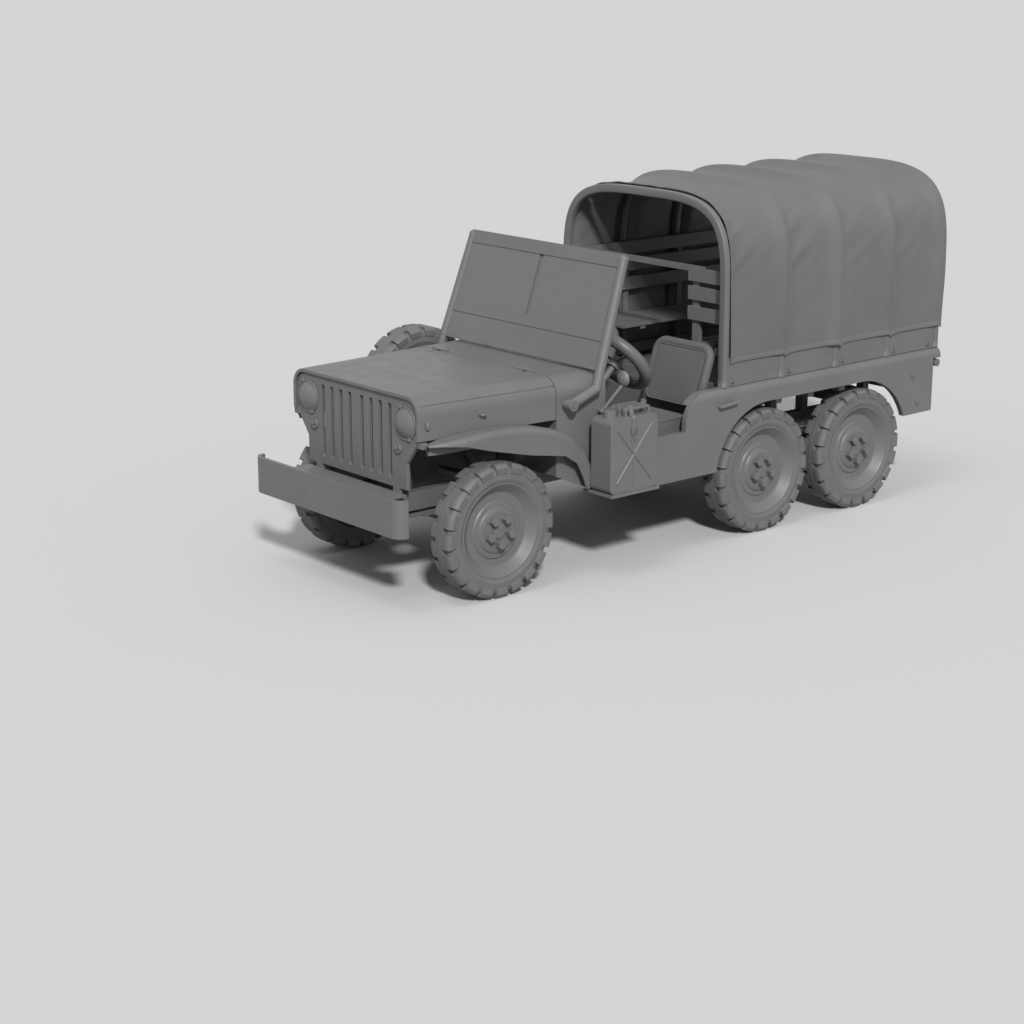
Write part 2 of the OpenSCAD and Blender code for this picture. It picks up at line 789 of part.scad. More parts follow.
// Body side: sill, door opening, quarter panel and rail in one pressing
side_low = 425;
rail_round = 46;
module body_side() {
  intersection() {
    along(step_y, bed_y1) {
      translate([wall_in, side_low]) square([wall_t, rail_top - rail_round - side_low]);
      translate([rail_in_x, rail_top - rail_depth]) square([body_x - rail_in_x, rail_depth - rail_round]);
      translate([rail_in_x, rail_top - rail_round - 0.01])
        square([body_x - rail_in_x - rail_round, rail_round + 0.01]);
      translate([body_x - rail_round, rail_top - rail_round]) intersection() {
        circle(rail_round);
        square(rail_round);
      }
    }
    across(rail_in_x - 1, body_x + 1) side_outline();
  }
  box([cowl_x - sheet, step_y, side_low], [wall_in + 1, step_y + step_t, sill_top]);
  grab_handle();
}

// Outline of the body side as (y, z)
module side_outline() {
  door_rear = bed_y0 - 360;
  door_r = 170;
  quarter_low = 512;
  difference() {
    union() {
      translate([step_y, side_low]) square([panel_rear - step_y, sill_top - side_low]);
      translate([door_rear, sill_top - 1]) square([panel_rear - door_rear, rail_top - sill_top + 1]);
      translate([panel_rear - 1, rail_top - rail_depth]) square([bed_y1 - panel_rear + 1, rail_depth]);
    }
    translate([door_rear - 1, rail_top - door_r])
      difference() {
        square([door_r + 1, door_r + 1]);
        translate([door_r + 1, 0]) circle(door_r);
      }
    for (y = [middle_axle, rear_axle]) translate([y, axle_z]) circle(arch_r);
    translate([middle_axle, axle_z]) square([bogie_spacing, arch_r]);
    translate([middle_axle, side_low - 1]) square([bed_y1 - middle_axle + 1, quarter_low - side_low + 1]);
  }
}

// Grab handle on the quarter panel
module grab_handle() {
  y = [bed_y0 - 105, bed_y0 + 25];
  z = rail_top - 94;
  stand = 26;
  rod([body_x + stand, y[0], z], [body_x + stand, y[1], z + 12], 9);
  for (i = [0, 1]) {
    translate([body_x + stand, y[i], z + 12 * i]) sphere(9 + swell);
    rod([body_x - 2, y[i], z + 12 * i], [body_x + stand, y[i], z + 12 * i], 9);
  }
}

module body_side_left() color("gray") body_side();
module body_side_right() color("gray") right_hand() body_side();

// Cargo bed: floor, front wall, rear panel, bolsters and hinge tube
module bed() color("gray") {
  x = wall_in;
  wall = 20;
  floor_rear = hinge_y - hinge_ring_r - gap;
  box([-x, riser_y, bed_low], [x, panel_rear, bed_top]);
  box([-rail_in_x + gap, panel_rear - 1, bed_low], [rail_in_x - gap, floor_rear, bed_top]);
  box([-rail_in_x, bed_y0, bed_low], [rail_in_x, bed_y0 + wall, rail_top]);
  box([-x, riser_y, frame_top], [x, riser_y + wall, bed_low + 1]);
  box([-x, panel_rear - wall, 600], [x, panel_rear, bed_low + 1]);
  for (y = [middle_axle + 140, (middle_axle + rear_axle) / 2, rear_axle - 140, rear_axle + 420]) {
    box([-x + 10, y - 25, bed_low - 50], [x - 10, y + 25, bed_low + 1]);
    both() box([rail_in, y - 25, frame_top], [rail_out, y + 25, bed_low - 49]);
  }
  translate([-body_x + 8, hinge_y, hinge_z]) along_x() cylinder(h = 2 * body_x - 16, r = hinge_tube_r);
  both() box([body_x - 80, panel_rear - cut, hinge_z - 20], [body_x - 60, hinge_y, hinge_z + 20]);
}

// Tailgate with straps that turn on the hinge tube
module tailgate() color("gray") {
  strap_w = 50;
  x = rail_in_x - gap;
  z0 = hinge_z + hinge_tube_r + gap;
  box([-x, gate_y, z0], [x, gate_y + gate_t, hem_z]);
  for (s = [-1, 0, 1]) translate([s * 430, 0, 0]) difference() {
    union() {
      translate([-strap_w / 2, hinge_y, hinge_z]) along_x() cylinder(h = strap_w, r = hinge_ring_r);
      box([-strap_w / 2, gate_y + 4, hinge_z], [strap_w / 2, gate_y + gate_t + 8, hem_z - 30]);
    }
    translate([-strap_w / 2 - cut, hinge_y, hinge_z]) along_x()
      cylinder(h = strap_w + 2 * cut, r = hinge_tube_r + pin_gap);
  }
}

// Half of the hoop line as (x, z) points grown outwards by d, from the foot up
hoop_steps = 6;
function hoop_half(d, low) =
  let (x = bow_x + d, r = bow_corner + d, top = bow_top + d, mid = (low + bow_top - bow_corner) / 2)
  concat(
    [[x, low], [x, (low + mid) / 2], [x, mid]],
    [for (k = [0 : hoop_steps]) let (a = 90 * k / hoop_steps) [x - r + r * cos(a), top - r + r * sin(a)]]
  );
function both_sides(half) = concat(half, [for (k = [len(half) - 1 : -1 : 0]) [-half[k][0], half[k][1]]]);

// Share of the sag taken by the points of the half line, from the hem up
sag_share = [0.1, 0.4, 0.75, 1, 1, 1, 1, 1, 1, 1];

// Hoops standing on the rails, the front one broader than the rest
module bows() color("gray") for (i = [0 : bow_count - 1]) along(bow_list[i] - bow_r, bow_list[i] + bow_r) difference() {
  polygon(both_sides(hoop_half(0, rail_top)));
  polygon(both_sides(hoop_half(i == 0 ? -front_bow_t : -bow_t, rail_top - cut)));
}

// Line of the canvas grown by d and drawn in by the sag s
function canvas_line(d, s) =
  let (h = hoop_half(d, hem_z), c = bow_top - bow_corner)
  both_sides([for (k = [0 : len(h) - 1])
    let (up = max(0, h[k][1] - c) / bow_corner, n = min(1, up))
    h[k] - s * sag_share[k] * [1 - n * n * 0.8, n]]);

// Canvas over the hoops, sagging between them
module canvas() color("gray") {
  steps = 5;
  places = [
    for (i = [0 : bow_count - 1])
      each concat(
        [[bow_list[i] - bow_r, 0], [bow_list[i] + bow_r, 0]],
        i == bow_count - 1 ? [] :
          [for (k = [1 : steps])
            let (u = k / (steps + 1))
            [bow_list[i] + bow_r + u * (bow_pitch - bow_d), canvas_sag * pow(sin(180 * u), 1.3)]]
      )
  ];
  rings = [
    for (p = places)
      let (outer = canvas_line(canvas_t, p[1]), inner = canvas_line(0, p[1]))
      [for (q = concat(outer, [for (k = [len(inner) - 1 : -1 : 0]) inner[k]])) [q[0], p[0], q[1]]]
  ];
  n = len(rings[0]);
  m = len(rings);
  polyhedron(
    points = [for (r = rings) each r],
    faces = concat(
      [for (k = [0 : n / 2 - 2]) each [[k, k + 1, n - 1 - k], [k + 1, n - 2 - k, n - 1 - k]]],
      [for (k = [0 : n / 2 - 2])
        let (o = (m - 1) * n)
        each [[o + k, o + n - 1 - k, o + k + 1], [o + k + 1, o + n - 1 - k, o + n - 2 - k]]],
      [for (i = [0 : m - 2], k = [0 : n - 1])
        let (a = i * n + k, b = i * n + (k + 1) % n, c = a + n, e = b + n) each [[a, c, b], [b, c, e]]]
    )
  );
}

// Slatted rack of one side: posts inside the hoops, slats, lugs and arms for the bench
slat_w = 78;
slats = [rack_top - 302, rack_top - 186, rack_top - 80];
module side_rack() {
  last = bow_count - 1;
  for (i = [0 : last]) let (y = bow_list[i] + (i == 0 ? bow_r + rack_post / 2 : 0))
    box([rail_in_x, y - rack_post / 2, rail_top], [post_x, y + rack_post / 2, rack_top]);
  for (z = slats)
    box([slat_x, bow_y0 + bow_r, z], [rail_in_x + 0.01, bed_y1 - 2, z + slat_w]);
  for (y = [bow_y0 + bow_r + 2, bed_y1 - bow_r - 18]) translate([0, y, 0]) bench_lug();
  for (i = [1 : last - 1])
    box([bench_hinge_x - 240, bow_list[i] - 15, bench_z - 52], [rail_in_x + 1, bow_list[i] + 15, bench_z - 30]);
}

module rack_left() color("gray") side_rack();
module rack_right() color("gray") right_hand() side_rack();

// Lug in which a bench's rod turns
module bench_lug() difference() {
  box([bench_hinge_x - 20, 0, bench_z - 20], [rail_in_x + 1, 16, bench_z + 20]);
  translate([bench_hinge_x, -cut, bench_z]) rotate([-90, 0, 0]) cylinder(h = 20, r = bench_rod_r + pin_gap);
}

// Rack behind the cab: two posts, a top bar and slats out to the sides
module rack_front() color("gray") both() {
  x = 385;
  y = bed_y0 + 20;
  half = 26;
  post_d = 30;
  slat_d = 16;
  bar = [35, 18];
  box([x - half, y, bed_top], [x + half, y + post_d, rack_top]);
  for (z = slats) box([x - half - 24, y - slat_d, z], [slat_x - gap, y + 0.01, z + slat_w]);
  box([0, y + post_d - 0.01, rack_top - bar[0]], [x + half, y + post_d + bar[1], rack_top]);
}

// Boards between the hoops, under the hem of the canvas
module side_boards() color("gray") both() for (i = [0 : bow_count - 2])
  box([bow_x - 22, bow_list[i] + bow_r, rail_top], [bow_x - 6, bow_list[i + 1] - bow_r, hem_z + 40]);

// Fold-down bench of one side, hung on a rod
module bench() {
  slat_count = 5;
  seat_slat = 48;
  y0 = bed_y0 + 90;
  y1 = gate_y - 60;
  x1 = bench_hinge_x + 22;
  pitch = (bench_depth - seat_slat) / (slat_count - 1);
  for (i = [0 : slat_count - 1])
    box([x1 - seat_slat - i * pitch, y0, bench_z], [x1 - i * pitch, y1, bench_z + 20]);
  for (i = [0 : bow_count - 2]) let (y = (max(bow_list[i], y0) + min(bow_list[i + 1], y1)) / 2)
    box([x1 - bench_depth + 6, y - 20, bench_z - 20], [x1 - 4, y + 20, bench_z + 1]);
  rod([bench_hinge_x, bow_y0 + bow_r + 2, bench_z], [bench_hinge_x, bed_y1 - bow_r - 2, bench_z], bench_rod_r);
}

module bench_left() color("gray") bench();
module bench_right() color("gray") right_hand() bench();

// Seats: a tubular hoop round the back, a pan on four legs, and the pads
seat_w = 470;
seat_x = rail_in_x - gap - seat_w / 2;
seat_tube = 20;
pan_y = [bed_y0 - 515, bed_y0 - 235];
pan_z = floor_top + 84;
pan_t = 24;
back_y = bed_y0 - 212;
back_lean = 18.5;
back_len = 470;
back_pad_t = 62;
back_corner = 70;
module on_seats() both() translate([seat_x, 0, 0]) children();
module on_back() translate([0, back_y, pan_z]) rotate([-back_lean, 0, 0]) children();

module seat_frames() color("dimgray") on_seats() {
  x = seat_w / 2 - seat_tube;
  bend = back_len - back_corner;
  hoop = [[-x, 0], [-x, bend], [-x + back_corner, back_len], [x - back_corner, back_len], [x, bend], [x, 0]];
  leg_r = 16;
  on_back() for (i = [0 : len(hoop) - 2]) {
    rod([hoop[i][0], 0, hoop[i][1]], [hoop[i + 1][0], 0, hoop[i + 1][1]], seat_tube);
    translate([hoop[i][0], 0, hoop[i][1]]) sphere(seat_tube + swell);
  }
  on_back() translate([x, 0, 0]) sphere(seat_tube + swell);
  box([-seat_w / 2, pan_y[0], pan_z - pan_t / 2], [seat_w / 2, pan_y[1] + 10, pan_z + pan_t / 2]);
  for (s = [-1, 1], y = [pan_y[0] + 30, pan_y[1] - 20])
    rod([s * (x - 10), y, floor_top], [s * (x - 10), y, pan_z], leg_r);
}

module seat_pads() color("gray") on_seats() {
  pad_top = pan_z + 93;
  box([-seat_w / 2 + 8, pan_y[0] - 8, pan_z + pan_t / 2], [seat_w / 2 - 8, pan_y[1] - 24, pad_top]);
  x = seat_w / 2 - 2 * seat_tube;
  low = 120;
  top = back_len - seat_tube - cut;
  bend = back_len - back_corner - seat_tube * 1.4;
  on_back() along(-back_pad_t / 2, back_pad_t / 2)
    polygon([[-x, low], [x, low], [x, bend], [x - back_corner + 4, top], [-x + back_corner - 4, top], [-x, bend]]);
}

// Steering column from the floor to the wheel's hub
wheel_c = [seat_x - 20, pan_y[0] - 60, floor_top + 497];
column_rise = wheel_c[2] - floor_top - 18;
column_run = wheel_c[1] - (cowl_rear - 192);
wheel_lean = atan2(column_rise, column_run);
hub_len = 58;
column_len = norm([column_rise, column_run]);
module column_frame() translate(wheel_c) rotate([wheel_lean - 90, 0, 0]) children();
module steering_column() color("dimgray") {
  foot = wheel_c - column_len * [0, cos(wheel_lean), sin(wheel_lean)];
  column_frame() {
    translate([0, 0, -column_len]) cylinder(h = column_len - hub_len - 2, r = 20);
    translate([0, 0, -column_len / 2]) cylinder(h = column_len / 2 - 20, r = 10);
  }
  translate([foot[0], foot[1], floor_top]) cylinder(h = 36, r = 48);
}

// Steering wheel: rim, three spokes and a hub
module steering_wheel() color("dimgray") column_frame() {
  r = 200;
  difference() {
    union() {
      rotate_extrude() translate([r, 0]) circle(17);
      for (a = [90, 210, 330]) rotate(a) translate([0, 0, -16]) rotate([0, 86, 0]) cylinder(h = r, r = 9);
      translate([0, 0, -hub_len]) cylinder(h = hub_len + 6, r = 34);
    }
    translate([0, 0, -hub_len - cut]) cylinder(h = hub_len - 18, r = 10 + pin_gap);
  }
}

// Gear levers and pedals on the floor
module controls() color("dimgray") {
  // Place across, distance behind the cowl, length and lean of each lever
  for (v = [[30, -75, 360, 18], [-60, 105, 250, 8], [-120, 105, 230, 8]])
    translate([v[0], cowl_rear + v[1], floor_top]) lever(v[2], v[3]);
  for (x = [wheel_c[0] - 105, wheel_c[0] + 105]) translate([x, cowl_rear - 85, floor_top]) pedal();
}

// Lever of length h leaning back by a, with its knob and its boot
module lever(h, a) {
  cylinder(h = 30, r = 36);
  translate([0, 0, 18]) rotate([-a, 0, 0]) rotate_extrude()
    polygon([[0, 0], [9, 0], [8, h - 40], [15, h - 36], [22, h - 22], [20, h - 8], [10, h], [0, h]]);
}

module pedal() {
  box([-14, 0, 0], [14, 22, 110]);
  translate([0, 16, 100]) rotate([-35, 0, 0]) box([-42, -9, 0], [42, 9, 62]);
}

// Round mirror on an arm at the left of the cowl
module mirror_arm() {
  y = cowl_rear - 49;
  z = hood_low + 15;
  a = [hood_x(y) + 30, y, z];
  b = a + [44, 110, 140];
  rod([hood_x(y + 14), y, z], a, 14);
  translate(a) sphere(14 + swell);
  rod(a, b, 9);
  translate(b + [0, 10, 30]) rotate([90, 0, 0]) rotate_extrude()
    polygon([[0, 0], [40, 0], [44, 3], [44, 8], [38, 18], [26, 26], [12, 30], [0, 31]]);
}
module mirror_left() color("gray") mirror_arm();

// Can of liquid and the tray that holds it on the left
can_y = [cowl_rear - 153, cowl_rear + 191];
can_x = [702, 860];
can_z = [482, 940];
can_r = 34;
can_grip = 48;
rib_r = 7;
module jerrycan() color("gray") {
  top = can_z[1] - can_grip;
  skin = can_x[1] - rib_r / 2;
  grip_y = [can_y[0] + 120, can_y[1] - 40];
  rib_y = [can_y[0] + 45, can_y[1] - 45];
  rib_z = [can_z[0] + 55, top - 55];
  across(can_x[0], skin) rounded([can_y[0], can_z[0]], [can_y[1], top], can_r);
  rod([skin, rib_y[0], rib_z[0]], [skin, rib_y[1], rib_z[1]], rib_r);
  rod([skin, rib_y[0], rib_z[1]], [skin, rib_y[1], rib_z[0]], rib_r);
  for (i = [-1 : 1]) translate([(can_x[0] + skin) / 2 + i * 48, 0, 0]) can_handle(grip_y, top);
  translate([(can_x[0] + skin) / 2, can_y[0] + 62, top - cut]) cylinder(h = 34 + cut, r = 36);
}

// Grip of the can, as a bar on two legs
module can_handle(y, z) across(-9, 9) difference() {
  rounded([y[0], z - 20], [y[1], can_z[1]], 20);
  rounded([y[0] + 16, z], [y[1] - 16, can_z[1] - 16], 8);
}

module can_holder() color("gray") {
  lip = 4;
  box([cowl_x, can_y[0] - lip, can_z[0] - 14], [spare_out, can_y[1] + lip, can_z[0]]);
}

// Windscreen frame: side tubes that turn forward to their pivots, rail and sheet
module screen_plane() translate([0, foot_y, foot_z]) rotate([-screen_rake, 0, 0]) children();
sheet_low = (hood_top + gap + 4 - foot_z) / cos(screen_rake);
screen_fold = (hood_top + 157 - foot_z) / cos(screen_rake);
rail_low = screen_len - 74;
pane_low = screen_fold + 64;
pane_t = 10;
pane_set = 4;
screen_t = 34;
pillar = 34;
// Half width of the tubes' centres at a distance up the screen
function tube_x(v) = arm_x + (screen_x - arm_x) * v / (screen_len - tube_r);

module screen_shape(v0, v1, inset) polygon([
  [-tube_x(v0) + inset, v0], [tube_x(v0) - inset, v0], [tube_x(v1) - inset, v1], [-tube_x(v1) + inset, v1]
]);

module windscreen_frame() color("gray") {
  screen_plane() {
    both() rod([arm_x, 0, 0], [screen_x, 0, screen_len - tube_r], tube_r);
    both() translate([screen_x, 0, screen_len - tube_r]) sphere(tube_r + swell);
    along(-screen_t / 2 + pane_set, screen_t / 2) screen_shape(sheet_low, screen_fold, 0);
    along(-screen_t / 2, screen_t / 2) {
      screen_shape(screen_fold - 0.01, pane_low, 0);
      screen_shape(rail_low, screen_len, 0);
    }
    box([-pillar / 2, -screen_t / 2 + 14, pane_low - 1], [pillar / 2, screen_t / 2, rail_low + 1]);
  }
  both() difference() {
    union() {
      rod([arm_x, pivot_y, pivot_z], [arm_x, foot_y, foot_z], tube_r);
      translate([arm_x, foot_y, foot_z]) sphere(tube_r + swell);
      translate([arm_x - tube_r, pivot_y, pivot_z]) along_x() cylinder(h = screen_tube, r = tube_r + 4);
    }
    translate([arm_x - tube_r - cut, pivot_y, pivot_z]) along_x()
      cylinder(h = screen_tube + 2 * cut, r = pivot_r + pin_gap);
  }
}

module windscreen_panes() color("gray") screen_plane()
  along(-screen_t / 2 + pane_set, -screen_t / 2 + pane_set + pane_t) difference() {
    screen_shape(pane_low, rail_low, tube_r + 0.3);
    translate([-pillar / 2, pane_low - cut]) square([pillar, rail_low - pane_low + 2 * cut]);
  }

place() frame_rails();
place() cross_members();
place() bumper();
place() front_apron();
place() springs();
place() front_axle();
place() rear_axles();
place() prop_shafts();
place() engine();
place() radiator();
place() exhaust();
place() grille();
place() lamps();
place() fender_left();
place() fender_right();
place() cowl();
place() cab_floor();
place() body_side_left();
place() body_side_right();
place() bed();
place() rack_left();
place() rack_right();
place() rack_front();
place() side_boards();
place() bows();
place() canvas();
place() seat_frames();
place() seat_pads();
place() steering_column();
place() controls();
place() mirror_left();  // mirror
place() can_holder();
place() jerrycan();
place() spare_at() color("dimgray") tyre();  // spare_tyre
place() spare_at() color("gray") rim();  // spare_rim
place() knuckle_left();
place() knuckle_right();
place() tie_rod();
place() wheel_at(1, 0) color("dimgray") tyre();  // tyre_front_left
place() wheel_at(-1, 0) color("dimgray") tyre();  // tyre_front_right
place() wheel_at(1, middle_axle) color("dimgray") tyre();  // tyre_middle_left
place() wheel_at(-1, middle_axle) color("dimgray") tyre();  // tyre_middle_right
place() wheel_at(1, rear_axle) color("dimgray") tyre();  // tyre_rear_left
place() wheel_at(-1, rear_axle) color("dimgray") tyre();  // tyre_rear_right
place() wheel_at(1, 0) color("gray") rim();  // rim_front_left
place() wheel_at(-1, 0) color("gray") rim();  // rim_front_right
place() wheel_at(1, middle_axle) color("gray") rim();  // rim_middle_left
place() wheel_at(-1, middle_axle) color("gray") rim();  // rim_middle_right
place() wheel_at(1, rear_axle) color("gray") rim();  // rim_rear_left
place() wheel_at(-1, rear_axle) color("gray") rim();  // rim_rear_right
place() steering_wheel();
place() windscreen_frame();
place() windscreen_panes();
place() hood();
place() tailgate();
place() bench_left();
place() bench_right();
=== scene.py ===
"""Looks of the light six-wheel cargo truck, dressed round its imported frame. Metres."""
import json
import math

import bmesh
import bpy
import numpy as np
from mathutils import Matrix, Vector, noise
from mathutils.bvhtree import BVHTree


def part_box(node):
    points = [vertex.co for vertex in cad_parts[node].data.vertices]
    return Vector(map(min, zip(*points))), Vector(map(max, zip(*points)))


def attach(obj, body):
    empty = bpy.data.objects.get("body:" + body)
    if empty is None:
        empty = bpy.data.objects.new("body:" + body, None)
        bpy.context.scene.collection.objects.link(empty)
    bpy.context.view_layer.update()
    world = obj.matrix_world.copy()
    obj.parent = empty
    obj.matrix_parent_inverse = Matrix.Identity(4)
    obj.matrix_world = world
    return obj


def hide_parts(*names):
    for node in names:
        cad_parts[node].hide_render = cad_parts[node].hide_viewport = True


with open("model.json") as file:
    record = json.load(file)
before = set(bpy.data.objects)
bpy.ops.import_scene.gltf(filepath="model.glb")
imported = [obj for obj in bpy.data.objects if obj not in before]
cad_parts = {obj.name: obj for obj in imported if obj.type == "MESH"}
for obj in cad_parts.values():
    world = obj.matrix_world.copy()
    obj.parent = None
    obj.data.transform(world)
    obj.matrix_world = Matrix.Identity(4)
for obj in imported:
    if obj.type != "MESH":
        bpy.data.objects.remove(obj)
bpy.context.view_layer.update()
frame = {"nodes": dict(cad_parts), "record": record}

# Greys of the photograph, as linear values
PAINT_GREY = 0.175
CHASSIS_GREY = 0.150
RUBBER_GREY = 0.165
CANVAS_GREY = 0.160
CLOTH_GREY = 0.130
WOOD_GREY = 0.172
GLASS_GREY = 0.180
FITTING_GREY = 0.155

# Camera fitted to the photograph: eye, heading, fall and lens
CAMERA_EYE = Vector((8.988, -8.398, 3.464))
CAMERA_AZIMUTH = math.radians(49.755)
CAMERA_FALL = math.radians(15.464)
CAMERA_LENS = 75.6
SENSOR = 36.0
CLIP_END = 1000.0

# Soft suns: where from, how strong, how wide in degrees
SUNS = {
    "side_sun": ((0.66, -0.42, 0.58), 2.5, 6),
    "front_sun": ((0.10, -0.30, 0.90), 0.30, 20),
}
# Pale floor and world: what they throw on the object, and how pale they are seen
WORLD_LIGHT = 0.36
WORLD_SEEN = 0.70
FLOOR_LIGHT = 0.28
FLOOR_SEEN = 0.72
FLOOR_REACH = 400.0

ALONG = Vector((0, 1, 0))
UP = Vector((0, 0, 1))


# Node helpers

def new_material(name):
    """A material with an empty tree, its output and its surface shader."""
    material = bpy.data.materials.new(name)
    material.use_nodes = True
    tree = material.node_tree
    tree.nodes.clear()
    output = tree.nodes.new("ShaderNodeOutputMaterial")
    shader = tree.nodes.new("ShaderNodeBsdfPrincipled")
    tree.links.new(shader.outputs["BSDF"], output.inputs["Surface"])
    return material, tree, shader


def add_node(tree, kind, **values):
    """A node with its settings and its inputs' values."""
    node = tree.nodes.new(kind)
    for key, value in values.items():
        if hasattr(node, key):
            setattr(node, key, value)
        else:
            node.inputs[key.replace("_", " ").title()].default_value = value
    return node


def object_coords(tree, scale=(1, 1, 1)):
    """Coordinates in metres of the resting object, scaled."""
    coords = add_node(tree, "ShaderNodeTexCoord")
    mapping = add_node(tree, "ShaderNodeMapping")
    mapping.inputs["Scale"].default_value = scale
    tree.links.new(coords.outputs["Object"], mapping.inputs["Vector"])
    return mapping.outputs["Vector"]


def noise_value(tree, vector, cells, detail=4.0, rough=0.55):
    """Value of a noise at that many cells a metre."""
    node = add_node(tree, "ShaderNodeTexNoise", scale=cells, detail=detail, roughness=rough)
    tree.links.new(vector, node.inputs["Vector"])
    return node.outputs["Fac"]


def to_range(tree, value, low, high, from_low=0.3, from_high=0.7):
    """The value moved from one range into another."""
    node = add_node(tree, "ShaderNodeMapRange")
    node.inputs["From Min"].default_value = from_low
    node.inputs["From Max"].default_value = from_high
    node.inputs["To Min"].default_value = low
    node.inputs["To Max"].default_value = high
    tree.links.new(value, node.inputs["Value"])
    return node.outputs["Result"]


def mottled(tree, vector, cells, low, high):
    """A noise of that many cells a metre, between two values."""
    return to_range(tree, noise_value(tree, vector, cells), low, high)


def combine(tree, operation, a, b):
    """Sum, product or the like of two values, either of them a number."""
    node = add_node(tree, "ShaderNodeMath", operation=operation)
    for socket, value in zip(node.inputs, (a, b)):
        if isinstance(value, (int, float)):
            socket.default_value = value
        else:
            tree.links.new(value, socket)
    return node.outputs["Value"]


def grey(tree, value):
    """A neutral colour from one value."""
    node = add_node(tree, "ShaderNodeCombineColor")
    for socket in node.inputs:
        tree.links.new(value, socket)
    return node.outputs["Color"]


def tinted(tree, shader, tone, *shares):
    """Sets the base colour to a grey tone times some shares."""
    value = tone
    for share in shares:
        value = combine(tree, "MULTIPLY", share, value)
    tree.links.new(grey(tree, value), shader.inputs["Base Color"])


def soft_edges(tree, radius):
    """Normal that rounds the edges off by a radius."""
    node = add_node(tree, "ShaderNodeBevel", samples=4)
    node.inputs["Radius"].default_value = radius
    return node.outputs["Normal"]


def bumped(tree, height, strength, distance, normal=None):
    """Normal raised by a height."""
    node = add_node(tree, "ShaderNodeBump", strength=strength, distance=distance)
    tree.links.new(height, node.inputs["Height"])
    if normal is not None:
        tree.links.new(normal, node.inputs["Normal"])
    return node.outputs["Normal"]


def worn_and_highlit_edges(tree, radius):
    """Share of rubbed paint and painted edge highlight: high where the rounded normal departs from the flat
    one.
    """
    plain = add_node(tree, "ShaderNodeNewGeometry").outputs["Normal"]
    bent = soft_edges(tree, radius)
    dot = add_node(tree, "ShaderNodeVectorMath", operation="DOT_PRODUCT")
    tree.links.new(plain, dot.inputs[0])
    tree.links.new(bent, dot.inputs[1])
    return to_range(tree, dot.outputs["Value"], 1.0, 0.0, from_low=0.80, from_high=0.99)


# Materials

# Paint: how far the lighter edge, rubbed paint and painted highlight, reaches past an edge's rounding, and
# how far its roughness strays down and up
WEAR_AND_HIGHLIGHT_REACH = 1.6
ROUGH_LESS = 0.06
ROUGH_MORE = 0.08


def paint(name, tone, edge=0.004, roughness=0.44, wear_and_highlight=0.14):
    """Matt paint: slight mottling, orange peel, rounded edges drawn lighter as rubbed paint and painted
    highlight.
    """
    material, tree, shader = new_material(name)
    vector = object_coords(tree)
    blotch = mottled(tree, vector, cells=3.0, low=0.95, high=1.05)
    grain = mottled(tree, vector, cells=60.0, low=0.975, high=1.025)
    # Edges drawn lighter: partly rubbed paint, partly a painted edge highlight.
    rubbed_and_highlit = combine(tree, "MULTIPLY", worn_and_highlit_edges(tree, edge * WEAR_AND_HIGHLIGHT_REACH), wear_and_highlight)
    tinted(tree, shader, tone, blotch, grain, combine(tree, "ADD", rubbed_and_highlit, 1.0))
    rough = mottled(tree, vector, cells=9.0, low=roughness - ROUGH_LESS, high=roughness + ROUGH_MORE)
    tree.links.new(rough, shader.inputs["Roughness"])
    peel = noise_value(tree, vector, cells=420.0, detail=2.0)
    normal = bumped(tree, peel, strength=0.10, distance=0.0006, normal=soft_edges(tree, edge))
    tree.links.new(normal, shader.inputs["Normal"])
    return material


def rubber(name, tone):
    """Tyre rubber: fine grain, dust in patches, soft edges."""
    material, tree, shader = new_material(name)
    vector = object_coords(tree)
    dust = mottled(tree, vector, cells=7.0, low=0.92, high=1.08)
    grain = mottled(tree, vector, cells=120.0, low=0.95, high=1.05)
    tinted(tree, shader, tone, dust, grain)
    tree.links.new(mottled(tree, vector, cells=20.0, low=0.52, high=0.68), shader.inputs["Roughness"])
    pores = noise_value(tree, vector, cells=700.0, detail=3.0)
    normal = bumped(tree, pores, strength=0.18, distance=0.0008, normal=soft_edges(tree, radius=0.005))
    tree.links.new(normal, shader.inputs["Normal"])
    return material


def woven(name, tone, pitch):
    """Cloth: threads crossing at a pitch in metres, with faded patches."""
    material, tree, shader = new_material(name)
    vector = object_coords(tree)
    threads = 1.0
    for direction in ("X", "Y", "Z"):
        wave = add_node(tree, "ShaderNodeTexWave", bands_direction=direction, scale=0.5 / pitch / math.pi)
        wave.inputs["Distortion"].default_value = 0.6
        tree.links.new(vector, wave.inputs["Vector"])
        threads = combine(tree, "MULTIPLY", wave.outputs["Fac"], threads)
    fade = mottled(tree, vector, cells=2.2, low=0.92, high=1.06)
    fibre = mottled(tree, vector, cells=150.0, low=0.95, high=1.05)
    tinted(tree, shader, tone, fade, fibre)
    tree.links.new(mottled(tree, vector, cells=11.0, low=0.60, high=0.76), shader.inputs["Roughness"])
    shader.inputs["Sheen Weight"].default_value = 0.10
    shader.inputs["Sheen Roughness"].default_value = 0.5
    creases = noise_value(tree, vector, cells=24.0, detail=3.0)
    creased = bumped(tree, creases, strength=0.08, distance=0.003)
    normal = bumped(tree, threads, strength=0.20, distance=0.0006, normal=creased)
    tree.links.new(normal, shader.inputs["Normal"])
    return material


def planks(name, tone):
    """Painted wood: grain running along the truck under worn paint."""
    material, tree, shader = new_material(name)
    vector = object_coords(tree)
    grain = noise_value(tree, object_coords(tree, scale=(60.0, 3.0, 60.0)), cells=1.0, detail=6.0)
    blotch = mottled(tree, vector, cells=4.0, low=0.94, high=1.06)
    tinted(tree, shader, tone, blotch, to_range(tree, grain, 0.94, 1.05))
    tree.links.new(to_range(tree, grain, 0.48, 0.64), shader.inputs["Roughness"])
    normal = bumped(tree, grain, strength=0.22, distance=0.0015, normal=soft_edges(tree, radius=0.004))
    tree.links.new(normal, shader.inputs["Normal"])
    return material


